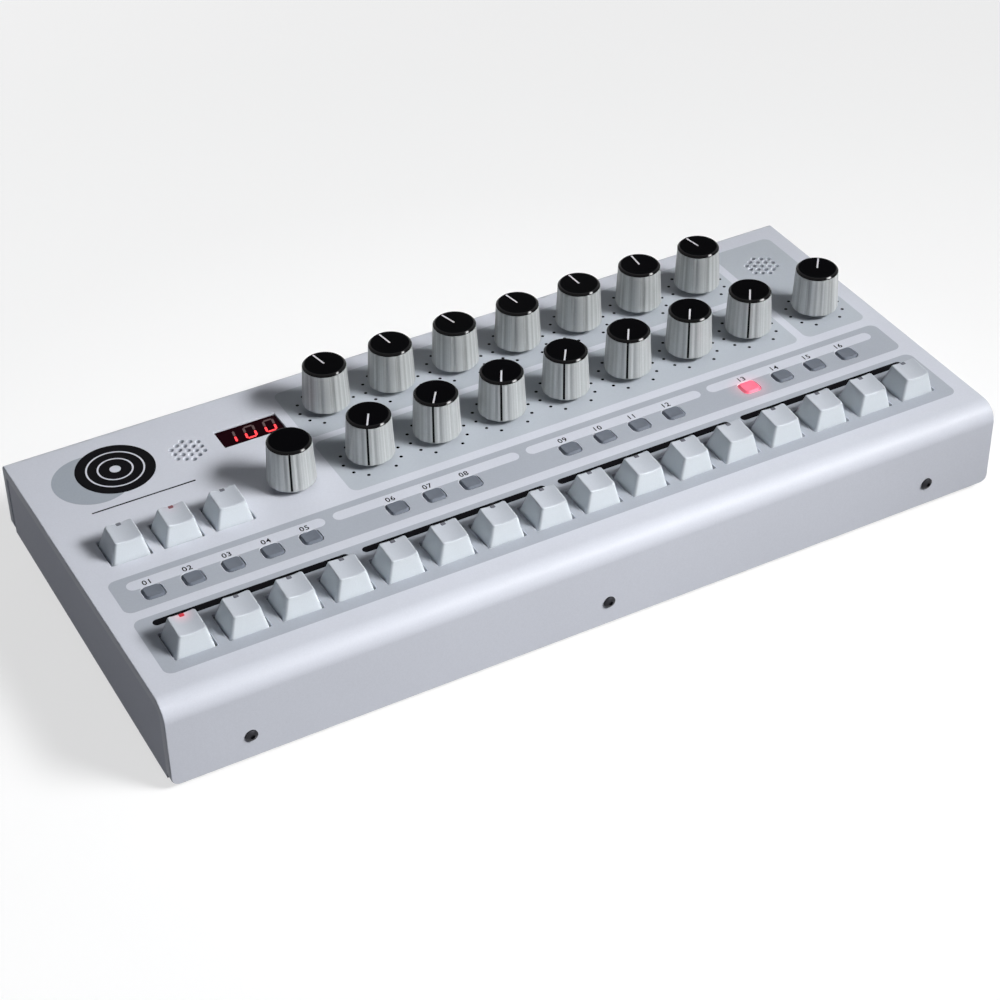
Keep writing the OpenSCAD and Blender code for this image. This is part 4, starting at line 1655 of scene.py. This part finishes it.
@dataclass
class KnobMaker:
    """Tall knob: fluted skirt with a groove, dark glossy cap, white line and shaft."""

    foot_r: float = 11.4
    top_r: float = 10.4
    foot_z: float = 3.0
    skirt: float = 19.8
    foot_edge: float = 0.35
    top_edge: float = 0.3
    top_lip: float = 0.08
    row_gap: float = 0.1
    hole_edge: tuple[float, float] = (0.2, 0.25)
    seat_r: float = 8.0
    near_angles: tuple[float, ...] = (3.6, 5.0, 7.5)
    far_angle: float = 10.0
    angle_step: float = 2.5
    cap: float = 1.16
    cap_inset: float = 0.02
    cap_lip: float = 0.03
    cap_hole: float = 2.0
    cap_foot_r: float = 0.2
    cap_border: float = 0.4
    cap_middle: float = 3.0
    gap: float = 0.05
    bevel: float = 0.8
    bevel_r: float = 0.3
    bevel_rows: int = 5
    wall: float = 1.8
    hollow: float = 5.0
    valleys: int = 12
    valley_depth: float = 0.28
    valley_half: float = 1.2
    groove_w: float = 1.0
    groove_depth: float = 0.3
    groove_up: float = 0.5
    groove_lip: float = 0.15
    line_from: float = -0.1
    line_to: float = 8.8
    line_w: float = 0.8
    line_r: float = 0.12
    line_steps: int = 3
    line_sink: float = 0.2
    line_up: float = 0.02
    shaft_r: float = 3.0
    shaft_low: float = 35.4
    shaft_edge: float = 0.3
    shaft_gap: float = 0.02
    shaft_steps: int = 32
    cap_steps: int = 72
    sharp: float = 32.0

    def groove_half(self) -> float:
        """Half of the groove's width as an angle in degrees."""
        return math.degrees(self.groove_w / 2 / self.foot_r)

    def angles(self) -> Array:
        """Angles around the skirt in degrees from the pointer, closer at the groove.

        Returns:
            Angles from 0 to under 360.
        """
        half = self.groove_half()
        near = np.array([half - self.groove_lip, half + self.groove_lip, *self.near_angles])
        last = 360 - self.far_angle
        rest = np.arange(self.far_angle, last + self.angle_step / 2, self.angle_step)
        return np.concatenate([[0.0, half / 2], near, rest, 360 - near[::-1], [360 - half / 2]])

    def radius(self, z: float) -> float:
        """Radius of the plain skirt at a height above its foot."""
        return self.foot_r + (self.top_r - self.foot_r) * z / self.skirt

    def skirt_rings(self) -> tuple[Array, Array]:
        """Rings of the skirt and the mask of faces in the groove.

        The radius falls from foot to top; valleys of cosine form and one square groove are
        taken off it.

        Returns:
            Rings, and a mask of rings by points.
        """
        angle, s, up, gap = self.angles(), self.skirt, self.groove_up, self.row_gap
        part = 360 / self.valleys
        away = np.abs(angle % part - part / 2) * math.pi / 180 * self.foot_r
        valley = self.valley_depth * (0.5 + 0.5 * np.cos(
            np.pi * np.minimum(away / self.valley_half, 1.0)))
        half, from_line = self.groove_half(), np.minimum(angle, 360 - angle)
        hole, foot, top = self.foot_r - self.wall, self.foot_edge, self.top_edge
        plain = [(z, 1, z > up) for z in (foot, up, up + gap, s / 2, s - top)]
        rows = [(hole, self.hollow, 0, 0), (hole, self.hole_edge[1], 0, 0),
                (hole + self.hole_edge[0], 0.0, 0, 0),
                (self.radius(0) - foot, 0.0, 1, 0), (self.radius(0) - gap, gap, 1, 0),
                *((self.radius(z), z, fluted, cut) for z, fluted, cut in plain),
                (self.radius(s - gap) - self.top_lip, s - gap, 1, 1),
                (self.radius(s) - top, s, 1, 1), (self.seat_r, s, 0, 0)]
        table = np.array(rows, float)
        radius = table[:, :1] - table[:, 2:3] * valley \
            - table[:, 3:] * (from_line < half) * self.groove_depth
        turn, radius = np.radians(90 - angle)[::-1], radius[:, ::-1]
        rings = np.stack([radius * np.cos(turn), radius * np.sin(turn),
                          np.broadcast_to(table[:, 1:2], radius.shape)], axis=-1)
        near = (from_line < half + 2 * self.groove_lip)[::-1]
        dark = np.zeros((len(rows) - 1, len(angle)), bool)
        cut = np.flatnonzero(table[:, 3])
        dark[cut[0] - 1:cut[-1]] = near & np.roll(near, -1)
        return rings, dark

    def cap_profile(self) -> Array:
        """Half section of the cap: a disc with a straight bevel between two small rounds.

        Returns:
            Array of radius and height.
        """
        low, high = self.skirt + self.gap, self.skirt + self.gap + self.cap
        edge, flat = self.top_r - self.cap_inset, self.top_r - self.cap_inset - self.bevel
        return rounded_profile([
            (self.cap_hole, low, 0), (edge - self.cap_lip, low, self.cap_foot_r),
            (edge, high - self.bevel, self.bevel_r), (flat, high, self.bevel_r),
            (flat - self.cap_border, high, 0), (self.cap_middle, high, 0)], self.bevel_rows)

    def make(self, name: str, x: float, y: float, turn: float, line: bool,
             finishes: list[bpy.types.Material]) -> bpy.types.Object:
        """Builds one knob.

        Args:
            name: Name of the knob's node and body.
            x: Place of its axis.
            y: Place of its axis.
            turn: Turn of its pointer, clockwise from straight back.
            line: Whether the cap carries a white line.
            finishes: One for each part, in the order of KnobPart.

        Returns:
            The object.
        """
        skin, at = Skin(), (x, y, PANEL + self.foot_z)
        rings, dark = self.skirt_rings()
        parts = np.where(dark.ravel(), KnobPart.GROOVE.value, KnobPart.SKIRT.value)
        skin.add(*loft(rings), parts, at, turn)
        disc, face = self.cap_profile(), KnobPart.FACE.value
        parts = np.full(len(disc) - 1, KnobPart.RIM.value)
        parts[-1] = face
        skin.add(*loft(lathe(disc, self.cap_steps)), np.repeat(parts, self.cap_steps), at, turn,
                 face)
        if line:
            heights = [disc[-1, 1] - self.line_sink, disc[-1, 1] + self.line_up]
            bar = rounded_box_line(self.line_w, self.line_to - self.line_from, self.line_r,
                                   self.line_steps)
            bar = bar + (0, (self.line_to + self.line_from) / 2)
            skin.add(*loft(stack([bar, bar], heights)), KnobPart.LINE.value, at, turn)
        low = self.shaft_low - at[2]
        shaft = np.array([[self.shaft_r - self.shaft_edge, low],
                          [self.shaft_r, low + self.shaft_edge],
                          [self.shaft_r, self.hollow - self.shaft_gap]])
        skin.add(*loft(lathe(shaft, self.shaft_steps)), KnobPart.SHAFT.value, at, turn)
        return skin.make(name + "_grip", finishes, self.sharp)


# ---------------------------------------------------------------- display and numbers


class Segment(Enum):
    """Bars of a digit: middle in half widths and half heights, and whether it lies level."""

    TOP = (0.0, 1.0, True)
    HIGH_RIGHT = (1.0, 0.5, False)
    LOW_RIGHT = (1.0, -0.5, False)
    FOOT = (0.0, -1.0, True)
    LOW_LEFT = (-1.0, -0.5, False)
    HIGH_LEFT = (-1.0, 0.5, False)


@dataclass
class Display:
    """Three slanted digits on the dark face of the display."""

    layout: Layout
    face_drop: float = 0.79
    pitch: float = 10.0
    half_w: float = 2.35
    half_h: float = 4.3
    bar_w: float = 1.1
    bar_gap: float = 0.12
    bar_h: float = 0.04
    slant: float = 9.0

    def bar(self, middle: float, segment: Segment) -> Surface:
        """Surface of one bar, pointed at both ends and sheared to the right with height.

        Args:
            middle: X of the digit's middle from the display's middle.
            segment: The bar.

        Returns:
            Points and faces.
        """
        across, up, level = segment.value
        reach = (self.half_w * 2 if level else self.half_h) / 2 - self.bar_gap
        b = self.bar_w / 2
        shape = np.array([[-reach, 0], [-reach + b, -b], [reach - b, -b], [reach, 0],
                          [reach - b, b], [-reach + b, b]])
        if not level:
            shape = shape[:, ::-1] * (-1, 1)
        shape = shape + (across * self.half_w, up * self.half_h)
        shape[:, 0] += shape[:, 1] * math.tan(math.radians(self.slant)) + middle
        return loft(stack([shape, shape], [0.0, self.bar_h]))

    def make(self, finishes: list[bpy.types.Material]) -> bpy.types.Object:
        """Builds the digits: a one and two noughts, whose upper halves are dimmed as painted shade
        of the window's edge.

        Args:
            finishes: Lit bars, and bars dimmed as painted shade.

        Returns:
            The object.
        """
        skin = Skin()
        at = (self.layout.encoder_x, self.layout.back_y, PANEL - self.face_drop)
        # Upper bars get the dim finish: painted shade where the window's edge hides them.
        bright = {Segment.LOW_RIGHT, Segment.FOOT, Segment.LOW_LEFT}
        one, nought = [Segment.HIGH_RIGHT, Segment.LOW_RIGHT], list(Segment)
        for place, segments in ((-1, one), (0, nought), (1, nought)):
            for segment in segments:
                skin.add(*self.bar(place * self.pitch, segment), 0 if segment in bright else 1,
                         at)
        return skin.make("display_digits", finishes)


@dataclass
class Numbers:
    """Plain numbers behind the buttons, as thin printed plates."""

    layout: Layout
    y: float = 78.1
    size: float = 4.34
    tracking: float = 1.1
    thickness: float = 0.01
    fattened: float = 0.06
    lift: float = 0.015

    def plate(self, number: int) -> Surface:
        """Letters of one number, about its middle.

        Args:
            number: The number, written with two digits.

        Returns:
            Points and triangles.
        """
        curve = bpy.data.curves.new("number", "FONT")
        curve.body = f"{number:02d}"
        curve.size, curve.space_character = self.size, self.tracking
        curve.align_x, curve.align_y = "CENTER", "CENTER"
        curve.extrude, curve.offset = self.thickness, self.fattened
        holder = bpy.data.objects.new("number", curve)
        bpy.context.scene.collection.objects.link(holder)
        bpy.context.view_layer.update()
        mesh = holder.to_mesh()
        mesh.calc_loop_triangles()
        points = np.empty(len(mesh.vertices) * 3)
        mesh.vertices.foreach_get("co", points)
        corners = np.empty(len(mesh.loop_triangles) * 3, np.int32)
        mesh.loop_triangles.foreach_get("vertices", corners)
        holder.to_mesh_clear()
        bpy.data.objects.remove(holder)
        bpy.data.curves.remove(curve)
        return points.reshape(-1, 3), [corners.reshape(-1, 3)]

    def make(self, finish: bpy.types.Material) -> bpy.types.Object:
        """Builds all numbers as one mesh.

        Args:
            finish: Their ink.

        Returns:
            The object.
        """
        skin = Skin()
        for number, x in enumerate(self.layout.button_xs(), 1):
            skin.add(*self.plate(number), 0, (x, self.y, PANEL + self.lift))
        return skin.make("button_numbers", [finish])


# ---------------------------------------------------------------- carried-over nodes


@dataclass
class Dresser:
    """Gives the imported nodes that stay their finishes."""

    nodes: dict[str, bpy.types.Object]
    weld: float = 0.00001
    sharp: float = 32.0

    def smooth(self, name: str) -> None:
        """Joins a node's loose triangles and rounds its shading, sharp edges kept.

        Args:
            name: The node.
        """
        node = self.nodes[name]
        count = len(node.data.polygons)
        node.data.polygons.foreach_set("use_smooth", np.ones(count, bool))
        weld = node.modifiers.new("join", "WELD")
        weld.merge_threshold = self.weld
        split = node.modifiers.new("sharp", "EDGE_SPLIT")
        split.split_angle = math.radians(self.sharp)

    def dress(self, name: str, finish: bpy.types.Material,
              second: bpy.types.Material | None = None, past: Vector | None = None) -> None:
        """Puts one finish on a node, and a second one on what lies past a place.

        Args:
            name: The node.
            finish: Finish of the node.
            second: Finish of the faces past the place.
            past: Place in row metres that such a face's middle passes along X, Y and Z.
        """
        mesh = self.nodes[name].data
        mesh.materials.clear()
        mesh.materials.append(finish)
        slots = np.zeros(len(mesh.polygons), np.int32)
        if second is not None and past is not None:
            mesh.materials.append(second)
            middles = np.empty(len(mesh.polygons) * 3)
            mesh.polygons.foreach_get("center", middles)
            slots[(middles.reshape(-1, 3) > np.array(past)).all(axis=1)] = 1
        mesh.polygons.foreach_set("material_index", slots)
        mesh.update()


# ---------------------------------------------------------------- stage


@dataclass(frozen=True)
class SoftLamp:
    """A rectangular lamp: way from the object's middle, distance, size, watts and aim."""

    name: str
    towards: tuple[float, float, float]
    far: float
    size: tuple[float, float]
    power: float
    aim: tuple[float, float, float] = (0.0, 0.0, 0.04)
    spread: float = 180.0
    tint: Colour = (1.0, 1.0, 1.0)
    middle: tuple[float, float, float] = (0.0, 0.0, 0.04)

    def make(self) -> bpy.types.Object:
        """Places the lamp so that it looks at its aim.

        Returns:
            The lamp.
        """
        data = bpy.data.lights.new(self.name, "AREA")
        data.shape, data.energy = "RECTANGLE", self.power
        data.size, data.size_y = self.size
        data.spread = math.radians(self.spread)
        data.color = self.tint
        holder = bpy.data.objects.new(self.name, data)
        place = Vector(self.towards).normalized() * self.far + Vector(self.middle)
        turn = (place - Vector(self.aim)).to_track_quat("Z", "Y").to_matrix().to_4x4()
        holder.matrix_world = Matrix.Translation(place) @ turn
        bpy.context.scene.collection.objects.link(holder)
        return holder


@dataclass
class Studio:
    """Camera, soft lamps, world and pale floor."""

    lens: float = 87.377
    sensor: float = 36.0
    clip: tuple[float, float] = (0.05, 30.0)
    azimuth: float = -28.349
    elevation: float = 37.726
    roll: float = -0.9167
    offset: tuple[float, float, float] = (47.96, -20.50, 1054.5)
    lamps: tuple[SoftLamp, ...] = (
        SoftLamp("key_lamp", (0.532, -0.58, 0.649), 1.67, (0.835, 0.37), 2.8,
                 aim=(-0.064, -0.09, 0.04), spread=38.0),
        SoftLamp("low_lamp", (0.15, -0.95, 0.22), 1.6, (1.0, 0.4), 1.2),
        SoftLamp("left_lamp", (-0.85, -0.3, 0.43), 1.8, (1.2, 0.8), 2.4,
                 tint=(0.84, 0.9, 1.0)),
        SoftLamp("back_lamp", (0.25, 0.85, 0.3), 2.2, (1.2, 1.2), 4.2),
    )
    sky: float = 0.038
    sky_tint: Colour = (0.8, 0.87, 1.0)
    floor_side: float = 12.0
    floor_colour: Colour = (0.36, 0.36, 0.36)
    floor_unseen: Colour = (0.04, 0.04, 0.045)
    floor_glow: float = 0.66
    floor_near: float = 0.3
    floor_far: float = 1.3

    def camera(self) -> bpy.types.Object:
        """Places the camera: three axes from azimuth, elevation and roll.

        Returns:
            The camera.
        """
        a, e, r = (math.radians(v) for v in (self.azimuth, self.elevation, self.roll))
        back = np.array([math.sin(a) * math.cos(e), -math.cos(a) * math.cos(e), math.sin(e)])
        right = np.array([math.cos(a), math.sin(a), 0.0])
        up = np.cross(back, right)
        right, up = (math.cos(r) * right + math.sin(r) * up,
                     -math.sin(r) * right + math.cos(r) * up)
        x, y, z = self.offset
        place = -x * right - y * up + z * back + (0, -MIDDLE_Y, PANEL)
        data = bpy.data.cameras.new("camera")
        data.lens, data.sensor_width, data.sensor_fit = self.lens, self.sensor, "HORIZONTAL"
        data.clip_start, data.clip_end = self.clip
        holder = bpy.data.objects.new("camera", data)
        turn = Matrix(np.column_stack([right, up, back]).tolist()).to_4x4()
        holder.matrix_world = Matrix.Translation(Vector(place * MILLIMETRE)) @ turn
        bpy.context.scene.collection.objects.link(holder)
        bpy.context.scene.camera = holder
        return holder

    @staticmethod
    def seen(graph: Graph) -> Wire:
        """1 for rays that the camera sees directly, in gloss or through glass.

        Args:
            graph: The node tree that asks.

        Returns:
            1 or 0.
        """
        path = graph.node("ShaderNodeLightPath")
        rays = [Wire(graph, path.outputs[n]) for n in
                ("Is Camera Ray", "Is Glossy Ray", "Is Transmission Ray")]
        return rays[0].apply("MAXIMUM", rays[1]).apply("MAXIMUM", rays[2])

    def world(self) -> None:
        """White where it is seen, and a weak even sky for the light."""
        world = bpy.data.worlds.new("studio")
        graph = Graph(world)
        dim = tuple(self.sky * part for part in self.sky_tint)
        glow = graph.blend(self.seen(graph), dim, WHITE)
        back = graph.node("ShaderNodeBackground", None, {0: glow, 1: 1.0})
        graph.node("ShaderNodeOutputWorld", None, {0: back.outputs[0]})
        bpy.context.scene.world = world

    def floor_finish(self) -> bpy.types.Material:
        """Pale where it is seen, brighter away from the object, and dull to other light.

        Returns:
            The material.
        """
        graph = Graph(bpy.data.materials.new("pale_floor"))
        pale = graph.node("ShaderNodeBsdfDiffuse", None, {0: self.floor_colour})
        x, y, _ = graph.split(graph.place())
        far = graph.far(x, y).rise(self.floor_near, self.floor_far)
        shine = far * (1.0 - self.floor_glow) + self.floor_glow
        glow = graph.node("ShaderNodeEmission", None, {0: WHITE, 1: shine})
        both = graph.node("ShaderNodeAddShader", None, {0: pale.outputs[0], 1: glow.outputs[0]})
        dull = graph.node("ShaderNodeBsdfDiffuse", None, {0: self.floor_unseen})
        mixed = graph.node("ShaderNodeMixShader", None, {
            0: self.seen(graph), 1: dull.outputs[0], 2: both.outputs[0]})
        graph.node("ShaderNodeOutputMaterial", None, {0: mixed.outputs[0]})
        return graph.owner

    def floor(self) -> bpy.types.Object:
        """Pale floor that shows white with the object's soft shadow.

        Returns:
            The floor.
        """
        mesh, side = bpy.data.meshes.new("floor"), self.floor_side
        mesh.from_pydata([(-side, -side, 0), (side, -side, 0), (side, side, 0),
                          (-side, side, 0)], [], [(0, 1, 2, 3)])
        mesh.materials.append(self.floor_finish())
        floor = bpy.data.objects.new("floor", mesh)
        bpy.context.scene.collection.objects.link(floor)
        return floor

    def make(self) -> None:
        """Sets the whole stage."""
        bpy.context.scene.view_settings.view_transform = "Standard"
        self.camera()
        for lamp in self.lamps:
            lamp.make()
        self.world()
        self.floor()


# ---------------------------------------------------------------- the object


def settle(piece: bpy.types.Object, body: str, slot: str, *nodes: str) -> None:
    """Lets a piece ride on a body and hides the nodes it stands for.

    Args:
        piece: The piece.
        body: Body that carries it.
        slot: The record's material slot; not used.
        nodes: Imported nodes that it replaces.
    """
    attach(piece, body)
    if nodes:
        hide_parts(*nodes)
    log.info("%s: %d faces on %s", piece.name, len(piece.data.polygons), body)


@dataclass
class DrumMachine:
    """The whole object."""

    nodes: dict[str, bpy.types.Object]
    layout: Layout = field(default_factory=Layout)
    nickel_from_z: float = 44.8
    nickel_from_y: float = 190.1

    def cover(self) -> None:
        """Cover with its prints, and the numbers on it."""
        at = self.layout
        # Silver paint and grey ink carry the lit button's light as a painted glow.
        pink, lamp = (1.0, 0.08, 0.16), (at.button_xs()[at.lit_button - 1], at.button_y)
        black = Paint("black_ink", srgb(11, 11, 14), 0.55, specular=0.015).make()
        inks = {
            Ink.PAINT: Paint("silver_paint", srgb(198, 201, 210), 0.45, glow=pink,
                             lamp=lamp).make(),
            Ink.GREY: Paint("grey_ink", srgb(162, 167, 176), glow=pink, lamp=lamp).make(),
            Ink.BLACK: black,
            Ink.LIGHT: Paint("pale_grey_ink", srgb(152, 159, 168)).make(),
            Ink.ZONE: Paint("zone_ink", srgb(173, 179, 187)).make(),
        }
        settle(Cover(at).make([inks[ink] for ink in Ink]), CASE, "case_silver", "top_cover")
        settle(Numbers(at).make(black), CASE, "case_silver")

    def fixed_nodes(self) -> None:
        """Finishes of the tray, screws, feet and inner parts, which stay as packed.

        The nuts above the board and the sockets' ends behind the case are nickel.
        """
        plastic = Moulding("black_parts", srgb(34, 34, 38), 0.5).make()
        nickel = Metal("nickel", (0.55, 0.54, 0.52), 0.32).make()
        finishes = {
            # The tray's silver is a darker copy of the cover's: painted shade for its side walls,
            # which lie out of the key light.
            "base_tray": Paint("tray_silver_painted_shade", srgb(186, 189, 202)).make(),
            "case_screws": Metal("black_oxide", (0.03, 0.03, 0.034), 0.42).make(),
            "rubber_feet": Moulding("rubber", srgb(30, 30, 31), 0.8, grain=1500.0,
                                    depth=0.00006).make(),
            "control_board": SolderMask("solder_mask", srgb(18, 74, 46),
                                        srgb(46, 118, 72)).make(),
            "display_module": Moulding("tinted_face", srgb(26, 3, 9), 0.22, grain=3000.0,
                                       depth=0.000004, specular=0.004).make(),
            "speakers": Moulding("speaker_paper", srgb(46, 46, 50), 0.8, grain=1800.0,
                                 depth=0.00008).make(),
        }
        far_out = -9.0
        dress = Dresser(self.nodes)
        for name, finish in finishes.items():
            dress.dress(name, finish)
        dress.dress("switch_and_pot_bodies", plastic, nickel,
                    Vector((far_out, far_out, self.nickel_from_z * MILLIMETRE)))
        dress.dress("rear_sockets", plastic, nickel,
                    Vector((far_out, (self.nickel_from_y - MIDDLE_Y) * MILLIMETRE, far_out)))
        for name in ("case_screws", "rubber_feet", "speakers", "rear_sockets",
                     "switch_and_pot_bodies", "base_tray"):
            dress.smooth(name)

    def display(self) -> None:
        """Digits of the display."""
        lit = Lamp("lit_bars", srgb(120, 8, 14), (1.0, 0.02, 0.03), strength=1.6,
                   spread=40.0).make()
        # The dim bars are painted shade of the window's edge over the digits' upper halves.
        dim = Lamp("painted_shade_bars", srgb(44, 8, 14), (0.5, 0.01, 0.02), strength=0.03,
                   spread=40.0).make()
        settle(Display(self.layout).make([lit, dim]), CASE, "display_red")

    def keys(self) -> None:
        """Step keys and transport keys with their light windows."""
        # The caps' tops take a darker copy of the side colour: painted shade.
        side, top = srgb(201, 207, 212), srgb(176, 181, 189)
        white = KeyPlastic("key_white", side, top).make()
        # The lit keys' caps carry a painted glow of their window's light.
        pink = KeyPlastic("key_white_lit", side, top, (0.30, 0.03, 0.05)).make()
        faint = KeyPlastic("key_white_dim", side, top, (0.05, 0.0, 0.008)).make()
        stem = Moulding("stem_brown", srgb(96, 62, 40), 0.4).make()
        dark = Moulding("dark_window", srgb(84, 86, 96), 0.25, coat=0.3).make()
        bright = Lamp("lit_window", srgb(150, 20, 34), (1.0, 0.03, 0.08), strength=0.22,
                      spread=30.0).make()
        dim = Lamp("dim_window", srgb(96, 50, 58), (1.0, 0.05, 0.08), strength=0.04,
                   spread=30.0).make()
        lit_keys = {"step_key_01": (pink, bright), "transport_key_2": (faint, dim)}
        maker = KeyMaker()
        for name, x, y in self.layout.key_places():
            cap, window = lit_keys.get(name, (white, dark))
            settle(maker.make(name, x, y, [cap, window, stem]), name, "key_white", name)

    def buttons(self) -> None:
        """Small buttons, one of them lit."""
        at, maker = self.layout, ButtonMaker()
        smoke = Moulding("smoked_plastic", srgb(101, 107, 117), 0.4, grain=3000.0,
                         depth=0.00001, specular=0.15).make()
        lit = Lamp("lit_button", srgb(230, 90, 120), (0.5, 0.118, 0.145), strength=0.7,
                   spread=9.0).make()
        for number, x in enumerate(at.button_xs(), 1):
            name = f"button_{number:02d}"
            piece = maker.make(name, x, at.button_y, lit if number == at.lit_button else smoke)
            settle(piece, name, "button_smoke", name)

    def knobs(self) -> None:
        """All knobs; the encoder's has no line."""
        at, maker = self.layout, KnobMaker()
        parts = {
            KnobPart.SKIRT: StreaksAndPaintedSheen("skirt_grey", srgb(183, 186, 186)).make(),
            KnobPart.GROOVE: Moulding("groove_black", srgb(16, 16, 17), 0.5,
                                      specular=0.1).make(),
            KnobPart.FACE: Moulding("cap_face", srgb(5, 5, 7), 0.12, grain=3000.0,
                                    depth=0.000001, specular=0.004).make(),
            KnobPart.LINE: Moulding("line_white", srgb(198, 198, 204), 0.4).make(),
            KnobPart.SHAFT: Metal("shaft_metal", (0.6, 0.58, 0.55), 0.35).make(),
            KnobPart.RIM: Moulding("cap_rim", srgb(3, 3, 4), 0.08, grain=3000.0,
                                   depth=0.000001, specular=0.12).make(),
        }
        rows = [("front_knob", at.front_y, at.front_turns),
                ("back_knob", at.back_y, at.back_turns)]
        places = [(f"{row}_{i + 1}", at.knob_x(i), y, turn, True)
                  for row, y, turns in rows for i, turn in enumerate(turns)]
        places.append(("volume_knob", at.volume_x(), at.front_y, at.volume_turn, True))
        places.append(("encoder_knob", at.encoder_x, at.front_y, at.encoder_turn, False))
        for name, x, y, turn, line in places:
            piece = maker.make(name, x, y, turn, line, [parts[part] for part in KnobPart])
            settle(piece, name, "knob_grey", name)

    def make(self) -> None:
        """Builds everything, from the case out to the knobs."""
        self.cover()
        self.fixed_nodes()
        self.display()
        self.keys()
        self.buttons()
        self.knobs()


def main() -> None:
    """Sets the stage and builds the object."""
    logging.basicConfig(level=logging.INFO, format="%(name)s: %(message)s")
    Studio().make()
    DrumMachine(frame["nodes"]).make()


if __name__ == "__main__":
    main()
